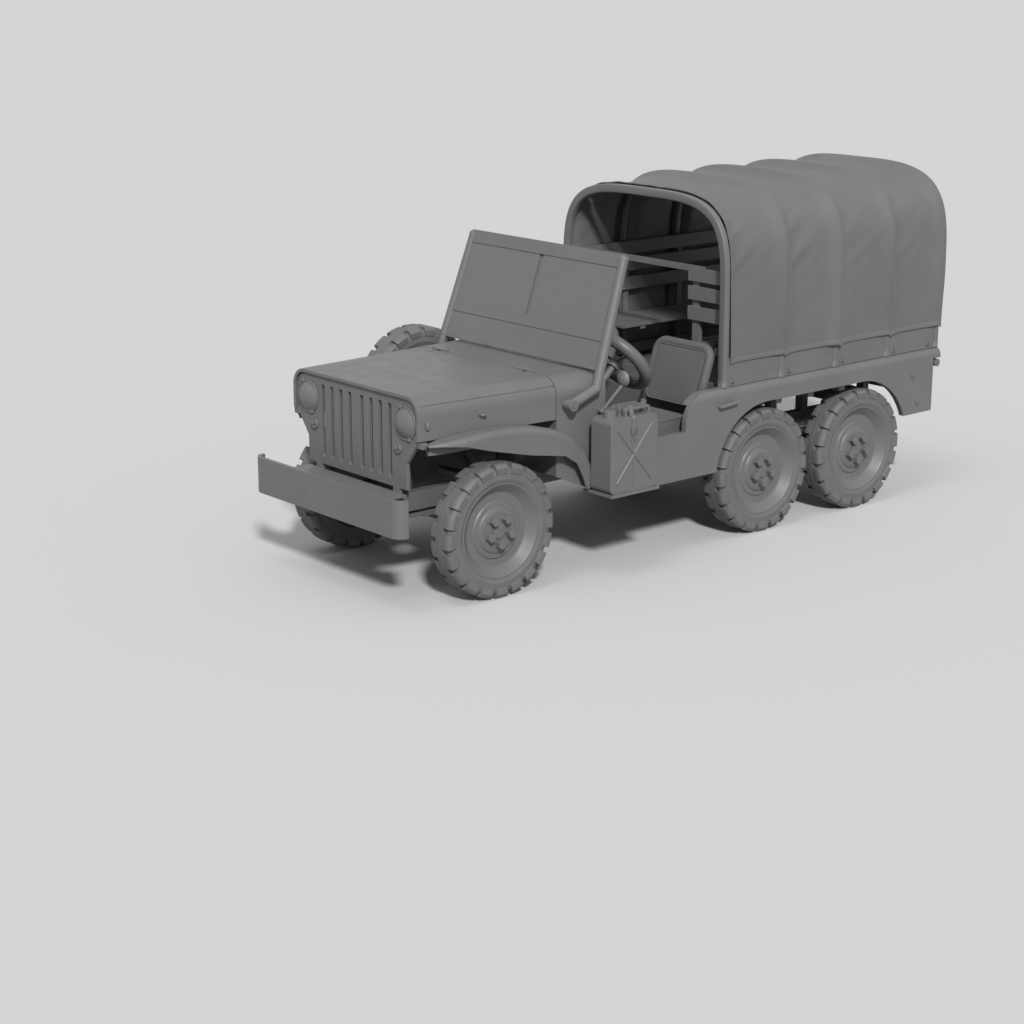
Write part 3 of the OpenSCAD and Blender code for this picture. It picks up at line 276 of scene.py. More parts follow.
def smooth_lens(name, tone, flutes):
    """Smooth moulded face with faint flutes, so many a metre along X."""
    material, tree, shader = new_material(name)
    vector = object_coords(tree)
    tinted(tree, shader, tone, mottled(tree, vector, cells=14.0, low=0.97, high=1.03))
    tree.links.new(mottled(tree, vector, cells=30.0, low=0.34, high=0.44), shader.inputs["Roughness"])
    wave = add_node(tree, "ShaderNodeTexWave", bands_direction="X", scale=flutes)
    tree.links.new(vector, wave.inputs["Vector"])
    rounded = soft_edges(tree, radius=0.003)
    normal = bumped(tree, wave.outputs["Fac"], strength=0.05, distance=0.001, normal=rounded)
    tree.links.new(normal, shader.inputs["Normal"])
    return material


MATERIALS = {
    "body_paint": paint("body_paint", PAINT_GREY),
    "chassis_paint": paint("chassis_paint", CHASSIS_GREY, roughness=0.55),
    "black_fittings": paint("black_fittings", FITTING_GREY, edge=0.003, roughness=0.40),
    "tyre_rubber": rubber("tyre_rubber", RUBBER_GREY),
    "canvas": woven("canvas_cloth", CANVAS_GREY, pitch=0.0032),
    "seat_cloth": woven("seat_cloth", CLOTH_GREY, pitch=0.0026),
    "painted_wood": planks("painted_wood", WOOD_GREY),
    "panes": smooth_lens("panes", GLASS_GREY, flutes=0.0),
    "lamp_glass": smooth_lens("lamp_glass", GLASS_GREY, flutes=12.0),
}

SLOT_OF = {row["node"]: row["material_slot"] for row in frame["record"]["subparts"]}
for node_name, node_object in frame["nodes"].items():
    node_object.data.materials.clear()
    node_object.data.materials.append(MATERIALS[SLOT_OF[node_name]])


# Mesh helpers

def mesh_piece(name, vertices, faces, slot, body):
    """A new smooth mesh piece that takes a slot's finish and rides on a body."""
    mesh = bpy.data.meshes.new(name)
    mesh.from_pydata([tuple(v) for v in vertices], [], faces)
    mesh.update()
    piece = bpy.data.objects.new(name, mesh)
    bpy.context.scene.collection.objects.link(piece)
    mesh.materials.append(MATERIALS[slot])
    mesh.polygons.foreach_set("use_smooth", [True] * len(mesh.polygons))
    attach(piece, body)
    return piece


def grid_faces(rows, columns, wrap=False):
    """Quads of a grid of points given row by row."""
    faces = []
    for i in range(rows - 1):
        for j in range(columns if wrap else columns - 1):
            k = (j + 1) % columns
            faces.append((i * columns + j, i * columns + k, (i + 1) * columns + k, (i + 1) * columns + j))
    return faces


def merged(shapes):
    """Points and faces of several shapes as one."""
    points, faces = [], []
    for shape_points, shape_faces in shapes:
        base = len(points)
        points += shape_points
        faces += [tuple(base + k for k in face) for face in shape_faces]
    return points, faces


def evaluated_mesh(piece):
    """What the piece's modifiers make, as a new mesh."""
    depsgraph = bpy.context.evaluated_depsgraph_get()
    return bpy.data.meshes.new_from_object(piece.evaluated_get(depsgraph))


def apply_modifiers(piece):
    """Turns what the modifiers make into the piece's own mesh."""
    made = evaluated_mesh(piece)
    piece.modifiers.clear()
    piece.data = made


def places(mesh):
    """A mesh's points as an array."""
    return np.array([vertex.co for vertex in mesh.vertices])


def ease(value):
    """Smooth step from 0 to 1."""
    value = min(max(value, 0.0), 1.0)
    return value * value * (3 - 2 * value)


def turns(count):
    """That many angles round a full turn."""
    return [2 * math.pi * k / count for k in range(count)]


def rounded_outline(half_u, half_v, radius, steps=6):
    """Corner-rounded rectangle as (u, v) points."""
    corners = [(half_u - radius, half_v - radius, 0), (radius - half_u, half_v - radius, 90),
               (radius - half_u, radius - half_v, 180), (half_u - radius, radius - half_v, 270)]
    points = []
    for cu, cv, start in corners:
        for k in range(steps + 1):
            a = math.radians(start + 90 * k / steps)
            points.append((cu + radius * math.cos(a), cv + radius * math.sin(a)))
    return points


def sweep(path, radius, up=UP, sides=10, closed=False):
    """A round tube along a path, closed on itself or capped at its ends."""
    path = [Vector(p) for p in path]
    count = len(path)
    points, faces = [], []
    for i, p in enumerate(path):
        before = path[i - 1] if i or closed else p
        after = path[(i + 1) % count] if i + 1 < count or closed else p
        tangent = (after - before).normalized()
        side = tangent.cross(up)
        side = side.normalized() if side.length > 1e-4 else tangent.orthogonal().normalized()
        over = side.cross(tangent).normalized()
        points += [p + side * (math.cos(a) * radius) + over * (math.sin(a) * radius) for a in turns(sides)]
    for i in range(count if closed else count - 1):
        after = (i + 1) % count
        for k in range(sides):
            n = (k + 1) % sides
            faces.append((i * sides + k, i * sides + n, after * sides + n, after * sides + k))
    if not closed:
        faces.append(tuple(reversed(range(sides))))
        faces.append(tuple(range((count - 1) * sides, count * sides)))
    return points, faces


def turned(profile, place, axis, steps=16):
    """A turned shape: (radius, distance along the axis) pairs, from the foot to the closing middle."""
    axis = Vector(axis).normalized()
    side = axis.orthogonal().normalized()
    other = axis.cross(side)
    points = []
    for radius, distance in profile:
        middle = Vector(place) + axis * distance
        points += [middle + (side * math.cos(a) + other * math.sin(a)) * radius for a in turns(steps)]
    faces = grid_faces(len(profile), steps, wrap=True)
    faces.append(tuple(range((len(profile) - 1) * steps, len(profile) * steps)))
    faces.append(tuple(reversed(range(steps))))
    return points, faces


def hooked(place, out, boss, arm, thick, up):
    """A turned boss with a bent arm, whose points are (out, back, up) from the boss's foot."""
    path = [place + out * reach + Vector((0, back, rise)) for reach, back, rise in arm]
    return [turned(boss, place, out), sweep(path, thick, up=up, sides=8)]


def surface(node):
    """A node's surface, to lay pieces on."""
    tree_mesh = bmesh.new()
    tree_mesh.from_mesh(frame["nodes"][node].data)
    tree = BVHTree.FromBMesh(tree_mesh)
    tree_mesh.free()
    return tree


# Beyond every side of the truck, where the rays that look for a side start
OUTSIDE = 1.2


def on_side(skin, side, y, z):
    """Where a surface is met from the left, 1, or from the right, -1, or None."""
    return skin.ray_cast(Vector((side * OUTSIDE, y, z)), Vector((-side, 0, 0)))[0]


def islands(node):
    """The separate solids of a node, each as an array of its points."""
    solids = bmesh.new()
    solids.from_mesh(frame["nodes"][node].data)
    bmesh.ops.remove_doubles(solids, verts=solids.verts, dist=1e-5)
    left = set(solids.verts)
    found = []
    while left:
        group, front = [], [left.pop()]
        while front:
            vertex = front.pop()
            group.append(tuple(vertex.co))
            for edge in vertex.link_edges:
                other = edge.other_vert(vertex)
                if other in left:
                    left.remove(other)
                    front.append(other)
        found.append(np.array(group))
    solids.free()
    return sorted(found, key=lambda points: tuple(points.mean(0)))


# Hoops

# How many, how deep along the truck and how thick, the front one thicker and lower, and their edges
HOOPS = 5
HOOP_DEPTH = 0.040
HOOP_THICK = 0.025
HOOP_EDGE = 0.009
FRONT_THICK = 0.050
FRONT_DROP = 0.020
# Where above their feet and how squarely they arch, and how far under the plain hoops' top
ARCH_START = 0.48
ARCH_POWER = 3.8
ARCH_BELOW = 0.043


def hoop_line(half_width, top, bend, hem):
    """Dense half line of an arch's outer side as (x, z), from the hem or foot up to the crown."""
    straight, arch = 40, 160
    line = [(half_width, hem + (bend - hem) * k / straight) for k in range(straight)]
    e = 2 / ARCH_POWER
    for k in range(arch + 1):
        a = k / arch
        t = math.pi / 2 * a * a / (a * a + (1 - a) * (1 - a))
        line.append((half_width * max(math.cos(t), 0.0) ** e, bend + (top - bend) * math.sin(t) ** e))
    return np.array(line)


def hoop_places():
    """Middles of the hoops along the truck, and their pitch."""
    low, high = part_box("bows")
    pitch = (high.y - low.y - HOOP_DEPTH) / (HOOPS - 1)
    return [low.y + HOOP_DEPTH / 2 + i * pitch for i in range(HOOPS)], pitch


def bent_bar(line, thick, y):
    """A flat bar with rounded edges, its outer side along a line across the truck."""
    bar = rounded_outline(HOOP_DEPTH / 2, thick / 2, HOOP_EDGE, 3)
    count, last = len(bar), len(line) - 1
    points = []
    for k, p in enumerate(line):
        along = (line[min(k + 1, last)] - line[max(k - 1, 0)]).normalized()
        out = Vector((along.z, 0, -along.x))
        points += [p + out * (v - thick / 2) + Vector((0, y + u, 0)) for u, v in bar]
    faces = grid_faces(len(line), count, wrap=True)
    faces += [tuple(range(count)), tuple(reversed(range(last * count, len(line) * count)))]
    return points, faces


def arched_hoops():
    """Bent hoops, standing where the plain hoops stand."""
    low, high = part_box("bows")
    bend, crown = low.z + ARCH_START, high.z - ARCH_BELOW
    shapes = []
    for i, y in enumerate(hoop_places()[0]):
        half = hoop_line(high.x, crown - (0 if i else FRONT_DROP), bend, low.z)[::4]
        line = [Vector((x, 0, z)) for x, z in half] + [Vector((-x, 0, z)) for x, z in half[-2::-1]]
        shapes.append(bent_bar(line, HOOP_THICK if i else FRONT_THICK, y))
    piece = mesh_piece("arched_hoops", *merged(shapes), "body_paint", "chassis")
    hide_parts("bows")
    return piece


# Canvas tilt

# Room over the hoops, thickness, hems, how far the ends lie behind and past the hoops, and mesh steps
CANVAS_CLEAR = 0.0015
CANVAS_THICK = 0.005
HEM_WIDTH = 0.030
HEM_STEP = 0.0025
HEM_ROUND = 0.004
FRONT_GAP = 0.016
REAR_PAST = 0.004
STEP_ROUND = 0.018
STEP_ALONG = 0.0095
# Reach to both sides in which the way out of the sheet is measured
SLOPE_REACH = 0.004
# The top's looks begin at this share of the straight side and are full after this length
TOP_FROM = 0.7
TOP_OVER = 0.35
# Sags between the hoops, on the sides, of which a share stays at the hem, and on top
SAG_SIDE = 0.024
SAG_HEM = 0.20
SAG_TOP = 0.056
# The hem's rise between the hoops: how much, how soon behind a hoop, up to which height, and its waves
SCALLOP = 0.011
SCALLOP_FALL = 0.045
SCALLOP_HEIGHT = 0.12
HEM_WAVE = 0.003
# Creases: how far they stand out, and how fast they come out as the cloth sinks
FOLD = 0.005
LOOSE = 1.6
# Cells a metre of each kind, across its folds and along them, by the way along the truck and by the way up
STREAKS = ((8.5, 0.0), (0.0, 0.9))
SLANTS = ((9.0, 6.5), (-2.0, 3.0))
PULLED = ((-9.0, 12.0), (3.0, 0.0))
# Share of the streaks left at the hem, share of the slants lost on top, weight and fall of the pulled folds
STREAK_HEM = 0.15
SLANT_LOST = 0.6
PULLED_WEIGHT = 1.6
PULLED_BACK = 1.4
# Ridge over each hoop: height, how soon it is gone behind and ahead, and what is left of it at the hem
RIDGE = 0.026
RIDGE_BACK = 0.042
RIDGE_AHEAD = 0.065
RIDGE_HEM = 0.35
# How fast the cloth falls behind a hoop, low down and on top, and the hoops where it is sharp to the hem
FALL_SHARP = 0.036
FALL_SOFT = 0.070
FALL_TOP = 0.045
SHARP_HOOPS = (0, 2)
# Share of a hoop's depth that carries the cloth to each side, and how bent its fall and its rise are
CREST = 0.35
FALL_POWER = 1.6
RISE_POWER = 0.9


def spaced(length, step, fine):
    """Places from 0 to a length, with fine ones near its start."""
    count = round((length - fine[-1]) / step)
    return fine + [fine[-1] + (length - fine[-1]) * k / count for k in range(1, count + 1)]


def hollow_share(behind, bay, fall):
    """How far the cloth has sunk: 0 on a hoop, steeply down behind it, softly up to the next one."""
    crest = HOOP_DEPTH * CREST
    down = 1 - math.exp(-(max(0.0, behind - crest) / fall) ** FALL_POWER)
    return down * max(0.0, 1 - (behind + crest) / bay) ** RISE_POWER


def ridge_share(behind):
    """How far the ridge over a hoop stands out: 1 on it, gone just behind, softer ahead."""
    return math.exp(-(behind / (RIDGE_BACK if behind > 0 else RIDGE_AHEAD)) ** 2)


def sheet_columns(line, run, half):
    """Columns round the sheet, hem to hem: (x, z), the way out in x and z, and the run from the hem."""
    columns = []
    for d, side in [(d, 1) for d in half] + [(d, -1) for d in half[-2::-1]]:
        x, z = (np.interp(d, run, line[:, k]) for k in (0, 1))
        a = [np.interp(max(d - SLOPE_REACH, 0.0), run, line[:, k]) for k in (0, 1)]
        b = [np.interp(min(d + SLOPE_REACH, run[-1]), run, line[:, k]) for k in (0, 1)]
        along = Vector((b[0] - a[0], b[1] - a[1])).normalized()
        out = Vector((along.y, -along.x)) if d < run[-1] - SLOPE_REACH else Vector((0, 1))
        columns.append((x * side, z, out.x * side, out.y, d))
    return columns


def folds(kind, along, up, seed):
    """A noise of one kind of folds, between -1 and 1; the seed parts the sides and the bays."""
    across, lengthwise = (along * by_way + up * by_height for by_way, by_height in kind)
    return noise.noise(Vector((across, lengthwise, seed)))


def sheet_row(y, columns, hoops, pitch, shoulder, edge):
    """Points across the sheet at one place along the truck, an edge's distance from its nearer end."""
    bay = min(int((y - hoops[0]) / pitch), HOOPS - 1)
    behind = y - hoops[bay]
    nearest = min(range(1, HOOPS), key=lambda i: abs(y - hoops[i]))
    ridge = RIDGE * ridge_share(y - hoops[nearest])
    low_fall = FALL_SHARP if bay in SHARP_HOOPS else FALL_SOFT
    scallop = SCALLOP * (1 - math.exp(-max(behind - HOOP_DEPTH / 2, 0.0) / SCALLOP_FALL))
    row = []
    for x, z, out_x, out_z, d in columns:
        side = 1 if x >= 0 else -1
        up = ease((d - HEM_WIDTH) / shoulder)
        above = ease((d - TOP_FROM * shoulder) / TOP_OVER)
        hollow = hollow_share(behind, pitch, low_fall + (FALL_TOP - low_fall) * above)
        sag = SAG_SIDE * (SAG_HEM + (1 - SAG_HEM) * up) + (SAG_TOP - SAG_SIDE) * above
        free = min(1.0, LOOSE * hollow)
        streak = folds(STREAKS, y, z, side * 3.1 + bay) * free * (STREAK_HEM + (1 - STREAK_HEM) * up)
        slant = folds(SLANTS, y, d, side * 5.7 + 2.0) * up * (1 - SLANT_LOST * above)
        pulled = folds(PULLED, behind, d, 9.0 + side + bay) * above * (PULLED_BACK - behind / pitch)
        crease = FOLD * (streak + (slant + PULLED_WEIGHT * pulled) * free)
        fade = 1.0 if nearest in SHARP_HOOPS else RIDGE_HEM + (1 - RIDGE_HEM) * max(up, above)
        band = HEM_STEP if min(d, edge) <= HEM_WIDTH - HEM_ROUND / 2 else 0.0
        out = CANVAS_CLEAR + ridge * fade - sag * hollow + crease + band
        lift = (scallop + HEM_WAVE * streak) * (1 - ease(d / SCALLOP_HEIGHT))
        row.append((x + out_x * out, y, z + out_z * out + lift))
    return row


def canvas_tilt(hoops_piece):
    """One sheet stretched over the hoops: ridges on them, sags and creases between."""
    low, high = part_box("bows")
    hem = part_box("canvas")[0].z
    bend = low.z + ARCH_START
    hoops, pitch = hoop_places()
    line = hoop_line(high.x, high.z - ARCH_BELOW, bend, hem)
    run = np.concatenate([[0], np.cumsum(np.linalg.norm(np.diff(line, axis=0), axis=1))])
    fine = [0.0, HEM_ROUND, HEM_WIDTH - HEM_ROUND, HEM_WIDTH, HEM_WIDTH + 1.5 * HEM_ROUND]
    columns = sheet_columns(line, run, spaced(run[-1], STEP_ROUND, fine))
    start, end = low.y + HOOP_DEPTH + FRONT_GAP, high.y + REAR_PAST
    stations = [start + d for d in spaced(end - start - fine[-1], STEP_ALONG, fine)]
    stations += [end - d for d in fine[-2::-1]]
    points = []
    for y in stations:
        points += sheet_row(y, columns, hoops, pitch, bend - hem, min(y - start, end - y))
    faces = grid_faces(len(stations), len(columns))
    piece = mesh_piece("canvas_tilt", points, faces, "canvas", "chassis")
    solid = piece.modifiers.new("thickness", "SOLIDIFY")
    solid.thickness = CANVAS_THICK
    solid.offset = 1.0
    apply_modifiers(piece)
    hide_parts("canvas")


canvas_tilt(arched_hoops())


# Seat cushions

# Mesh size, pressure, steps and furthest way of the simulation
PAD_VOXEL = 0.006
PAD_PRESSURE = 4.0
PAD_STEPS = 20
PAD_CAP = 0.010
# What is held, in mesh sizes: how near a face, and how near its rim
RIM_NEAR = 0.6
RIM_WIDTH = 2.2
# A pad that faces up more than this is a cushion, else a back
FACES_UP = 0.9
# Corners, and how far inside the plain solid the pad and its piping start
PAD_CORNER = 0.040
PAD_INSET = 0.004
PIPING = 0.0045
PIPING_INSET = 0.005
# Roll round a seat back: radius, corners, how far its legs reach down, and where its tube is looked for
ROLL = 0.027
ROLL_CORNER = 0.060
ROLL_LEG = 1.05
ROLL_FROM = 0.6


def pad_frame(points):
    """Middle, half sizes and axes of a pad's plain solid: across, along and out to its sitting side."""
    across = np.array((1.0, 0.0, 0.0))
    spread = np.cov((points - points.mean(0)).T)
    out = np.linalg.eigh(spread)[1][:, 0]
    out = out * np.sign(out @ np.array((0.0, -1.0, 1.0)))
    axes = np.array((across, np.cross(out, across), out))
    local = points @ axes.T
    middle = (local.max(0) + local.min(0)) / 2
    return middle @ axes, (local.max(0) - local.min(0)) / 2, axes


def inside(point, rest, margin):
    """Whether a point of a pad's face lies further than a margin from the face's rim."""
    half_u, half_v = rest[:, 0].max(), rest[:, 1].max()
    u, v = abs(point[0]), abs(point[1])
    corner_u, corner_v = u - (half_u - PAD_CORNER), v - (half_v - PAD_CORNER)
    if corner_u > 0 and corner_v > 0:
        return math.hypot(corner_u, corner_v) < PAD_CORNER - margin
    return u < half_u - margin and v < half_v - margin


def blow_up(pad, rest, top, base):
    """Cloth under pressure, held at both rims, no point going further than the cap."""
    seams = pad.vertex_groups.new(name="seams")
    rim = [k for k, p in enumerate(rest)
           if min(abs(p[2] - top), abs(p[2] - base)) < PAD_VOXEL * RIM_NEAR
           and not inside(p, rest, PAD_VOXEL * RIM_WIDTH)]
    seams.add(rim, 1.0, "REPLACE")
    cloth = pad.modifiers.new("cloth", "CLOTH")
    cloth.settings.use_pressure = True
    cloth.settings.uniform_pressure_force = PAD_PRESSURE
    cloth.settings.effector_weights.gravity = 0.0
    cloth.settings.vertex_group_mass = "seams"
    cloth.point_cache.frame_start = 1
    cloth.point_cache.frame_end = PAD_STEPS
    scene = bpy.context.scene
    for step in range(1, PAD_STEPS + 1):
        scene.frame_set(step)
    moved = places(evaluated_mesh(pad)) - rest
    length = np.linalg.norm(moved, axis=1, keepdims=True)
    capped = rest + moved * np.minimum(1.0, PAD_CAP / np.maximum(length, 1e-9))
    pad.modifiers.clear()
    pad.vertex_groups.clear()
    for vertex, place in zip(pad.data.vertices, capped):
        vertex.co = place
    scene.frame_set(1)


def stuffed(half):
    """A pad blown up between its pinned seams, in its own axes, flat where it rests."""
    outline = rounded_outline(half[0] - PAD_INSET, half[1] - PAD_INSET, PAD_CORNER)
    count = len(outline)
    top, base = half[2] - PAD_INSET, PAD_INSET - half[2]
    points = [(u, v, t) for t in (base, top) for u, v in outline]
    faces = [tuple(reversed(range(count))), tuple(range(count, 2 * count))]
    faces += [(k, (k + 1) % count, count + (k + 1) % count, count + k) for k in range(count)]
    mesh = bpy.data.meshes.new("pad")
    mesh.from_pydata(points, [], faces)
    pad = bpy.data.objects.new("pad", mesh)
    bpy.context.scene.collection.objects.link(pad)
    remesh = pad.modifiers.new("remesh", "REMESH")
    remesh.mode = "VOXEL"
    remesh.voxel_size = PAD_VOXEL
    apply_modifiers(pad)
    blow_up(pad, places(pad.data), top, base)
    smooth = pad.modifiers.new("smooth", "SMOOTH")
    smooth.factor = 0.5
    smooth.iterations = 6
    division = pad.modifiers.new("division", "SUBSURF")
    division.levels = division.render_levels = 1
    made = evaluated_mesh(pad)
    shape = places(made)
    shape[:, 2] = np.maximum(shape[:, 2], base)
    pad_faces = [tuple(polygon.vertices) for polygon in made.polygons]
    bpy.data.objects.remove(pad)
    return shape, pad_faces


def piped_seams(name, middle, half, axes):
    """Piping along both rims of a pad."""
    rims = []
    outline = rounded_outline(half[0] - PIPING_INSET, half[1] - PIPING_INSET, PAD_CORNER, 8)
    for t in (half[2] - PIPING_INSET, PIPING_INSET - half[2]):
        path = [np.array((u, v, t)) @ axes + middle for u, v in outline]
        rims.append(sweep(path, PIPING, up=Vector(axes[2]), sides=8, closed=True))
    mesh_piece(name, *merged(rims), "seat_cloth", "chassis")


def edge_roll(side, middle, half, axes):
    """Padded roll round a seat back, over the bent tube that carries it."""
    tubes = places(frame["nodes"]["seat_frames"].data)
    same_side = np.sign(tubes[:, 0]) == np.sign(middle[0])
    tubes = tubes[same_side & (tubes[:, 2] > middle[2] - half[1] * ROLL_FROM)]
    local = (tubes - middle) @ axes.T
    reach, top = np.abs(local[:, 0]).max() - ROLL, local[:, 1].max() - ROLL
    behind = (local[:, 2].max() + local[:, 2].min()) / 2
    outline = [(reach, -half[1] * ROLL_LEG), (reach, 0.0)]
    for turn in range(0, 181, 10):
        a = math.radians(turn)
        u = (reach - ROLL_CORNER) * (1 if turn <= 90 else -1) + ROLL_CORNER * math.cos(a)
        outline.append((u, top - ROLL_CORNER + ROLL_CORNER * math.sin(a)))
    outline += [(-reach, 0.0), (-reach, -half[1] * ROLL_LEG)]
    path = [Vector(np.array((u, v, behind)) @ axes + middle) for u, v in outline]
    roll = sweep(path, ROLL, up=Vector(axes[2]), sides=16)
    piece = mesh_piece(f"seat_roll_{side}", *roll, "seat_cloth", "chassis")


def seat_cushions():
    """Stuffed cushions and backs with piped seams, in the room of their plain solids."""
    shapes = {}
    for points in islands("seat_pads"):
        middle, half, axes = pad_frame(points)
        kind = "cushion" if axes[2][2] > FACES_UP else "back"
        side = "left" if middle[0] > 0 else "right"
        if kind not in shapes:
            shapes[kind] = stuffed(half)
        shape, faces = shapes[kind]
        piece = mesh_piece(f"seat_{kind}_{side}", shape @ axes + middle, faces, "seat_cloth", "chassis")
        piped_seams(f"seat_piping_{kind}_{side}", middle, half, axes)
        if kind == "back":
            edge_roll(side, middle, half, axes)
    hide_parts("seat_pads")


seat_cushions()


# Strap on the can

# Half width and half thickness, how round its edges are, and how far ahead of the can's middle it lies
STRAP_WIDTH = 0.016
STRAP_THICK = 0.0035
STRAP_ROUND = 0.99
STRAP_SHIFT = 0.004
# Where it starts and turns, inside the can's face, and where it goes on and ends, below the shoulder
STRAP_START = 0.045
STRAP_TURN = 0.012
STRAP_DOWN = 0.010
STRAP_DROP = 0.105
# Its two tails: half width, length and spread
TAIL_WIDTH = 0.005
TAIL_DROP = 0.040
TAIL_SPREAD = 0.006
# Buckle: half sizes and corner, wire, and how far out and up from the strap's end, then its tongue's ends
BUCKLE = (0.020, 0.015, 0.006)
BUCKLE_WIRE = 0.003
BUCKLE_OUT = 0.004
BUCKLE_UP = 0.024
TONGUE = ((0.006, 0, 0.008), (0.007, 0, 0.040))
TONGUE_WIRE = 0.002
# Weld down the can's face, from under the tails to above its foot
WELD = 0.003
WELD_GAP = 0.005
WELD_FOOT = 0.030


def banded(path, half_width, half_thick, sides=12):
    """A flat band along a path in the plane across Y, with rounded long edges."""
    rim = [(math.copysign(abs(math.cos(a)) ** STRAP_ROUND, math.cos(a)), math.sin(a)) for a in turns(sides)]
    points = []
    count = len(path)
    for i, p in enumerate(path):
        tangent = (path[min(i + 1, count - 1)] - path[max(i - 1, 0)]).normalized()
        out = tangent.cross(ALONG).normalized()
        out = out if out.x + out.z > 0 else -out
        points += [p + ALONG * (half_width * across) + out * (half_thick * over) for across, over in rim]
    faces = grid_faces(count, sides, wrap=True)
    faces += [tuple(range(sides)), tuple(reversed(range((count - 1) * sides, count * sides)))]
    return points, faces


def can_strap():
    """Webbing laid over the can's shoulder and down its outer face, with a buckle and two tails."""
    low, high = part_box("jerrycan")
    can = surface("jerrycan")
    y = (low.y + high.y) / 2 - STRAP_SHIFT
    out = Vector((1, 0, 0))
    path = []
    for x in np.linspace(high.x - STRAP_START, high.x - STRAP_TURN, 6):
        path.append(can.ray_cast(Vector((x, y, high.z + OUTSIDE)), -UP)[0] + UP * STRAP_THICK)
    shoulder = path[-1].z
    for z in np.linspace(shoulder - STRAP_DOWN, shoulder - STRAP_DROP, 14):
        path.append(on_side(can, 1, y, z) + out * STRAP_THICK)
    end = path[-1]
    buckle = [end + Vector((BUCKLE_OUT, v, BUCKLE_UP + w)) for v, w in rounded_outline(*BUCKLE)]
    tongue = [end + Vector(offset) for offset in TONGUE]
    shapes = [banded(path, STRAP_WIDTH, STRAP_THICK)]
    shapes.append(sweep(buckle, BUCKLE_WIRE, up=out, sides=8, closed=True))
    shapes.append(sweep(tongue, TONGUE_WIRE))
    for side in (-1, 1):
        tail = []
        for t in np.linspace(0.0, 1.0, 7):
            hit = on_side(can, 1, y + side * TAIL_SPREAD * (1 + t), end.z - TAIL_DROP * t)
            tail.append(hit + out * STRAP_THICK)
        shapes.append(banded(tail, TAIL_WIDTH, STRAP_THICK))
    heights = np.linspace(end.z - TAIL_DROP - WELD_GAP, low.z + WELD_FOOT, 24)
    shapes.append(sweep([on_side(can, 1, y, z) for z in heights], WELD, up=out, sides=8))
    mesh_piece("can_strap", *merged(shapes), "body_paint", "chassis")


can_strap()


# Bonnet seam and catches

# Seam: how far under the top, how thick, how far from the ends, and how many points
SEAM_DROP = 0.058
SEAM_THICK = 0.004
SEAM_END = 0.012
SEAM_STEPS = 24
# Hook: behind the front, below the top, thickness, boss (radius, height) and arm (out, back, up)
HOOK_BACK = 0.383
HOOK_BELOW = 0.145
HOOK_THICK = 0.008
HOOK_BOSS = ((0.012, -0.002), (0.012, 0.003), (0.009, 0.006))
HOOK_ARM = ((0.004, 0, 0), (0.016, 0, 0), (0.022, 0.006, -0.002), (0.022, 0.024, -0.006))
# Catch at the front corner: behind the front, below the top, out from the side, and its (radius, height)
CATCH_BACK = 0.055
CATCH_BELOW = 0.165
CATCH_OUT = 0.006
CATCH_KNOB = ((0.004, -0.022), (0.009, -0.018), (0.011, -0.010),
              (0.011, 0.010), (0.009, 0.018), (0.004, 0.022))


def bonnet_trim():
    """Rolled seam along each side of the bonnet, a hook below it and a catch at the front corner."""
    low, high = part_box("hood")
    skin = surface("hood")
    stretch = np.linspace(low.y + SEAM_END, high.y - SEAM_END, SEAM_STEPS)
    shapes = []
    for side in (1, -1):
        out = Vector((side, 0, 0))
        seam = [on_side(skin, side, y, high.z - SEAM_DROP) for y in stretch]
        shapes.append(sweep([hit for hit in seam if hit is not None], SEAM_THICK, up=out, sides=8))
        hook = on_side(skin, side, low.y + HOOK_BACK, high.z - HOOK_BELOW)
        shapes += hooked(hook, out, HOOK_BOSS, HOOK_ARM, HOOK_THICK, UP)
        corner = on_side(skin, side, low.y + CATCH_BACK, high.z - CATCH_BELOW)
        shapes.append(turned(CATCH_KNOB, corner + out * CATCH_OUT, UP))
    mesh_piece("bonnet_trim", *merged(shapes), "body_paint", "hood")


bonnet_trim()


# Rope hooks and reflectors

# Rope hooks: above the rail, behind a hoop, ahead of the last one, thickness, boss and arm as above
CLEAT_HEIGHT = 0.024
CLEAT_BEHIND = 0.058
CLEAT_AHEAD = 0.085
CLEAT_THICK = 0.0042
CLEAT_BOSS = ((0.011, -0.001), (0.011, 0.003), (0.008, 0.005))
CLEAT_ARM = ((0.004, 0, 0), (0.012, 0, 0), (0.016, 0.002, 0.004),
             (0.016, 0.005, 0.015), (0.013, 0.007, 0.022))
# Reflectors: (ahead of the body's rear edge, below its top), and the dome's (radius, height)
REFLECTORS = ((0.203, 0.320), (0.255, 0.143))
REFLECTOR = ((0.020, -0.002), (0.020, 0.004), (0.0175, 0.006),
             (0.016, 0.005), (0.011, 0.008), (0.004, 0.0092))


def rope_cleats():
    """Hooks on the boards, low behind each hoop, for the canvas's ropes."""
    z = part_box("side_boards")[0].z + CLEAT_HEIGHT
    boards = surface("side_boards")
    shapes = []
    for side in (1, -1):
        for i, hoop in enumerate(hoop_places()[0]):
            y = hoop - CLEAT_AHEAD if i == HOOPS - 1 else hoop + CLEAT_BEHIND
            hit = on_side(boards, side, y, z)
            if hit is not None:
                shapes += hooked(hit, Vector((side, 0, 0)), CLEAT_BOSS, CLEAT_ARM, CLEAT_THICK, ALONG)
    mesh_piece("rope_cleats", *merged(shapes), "body_paint", "chassis")


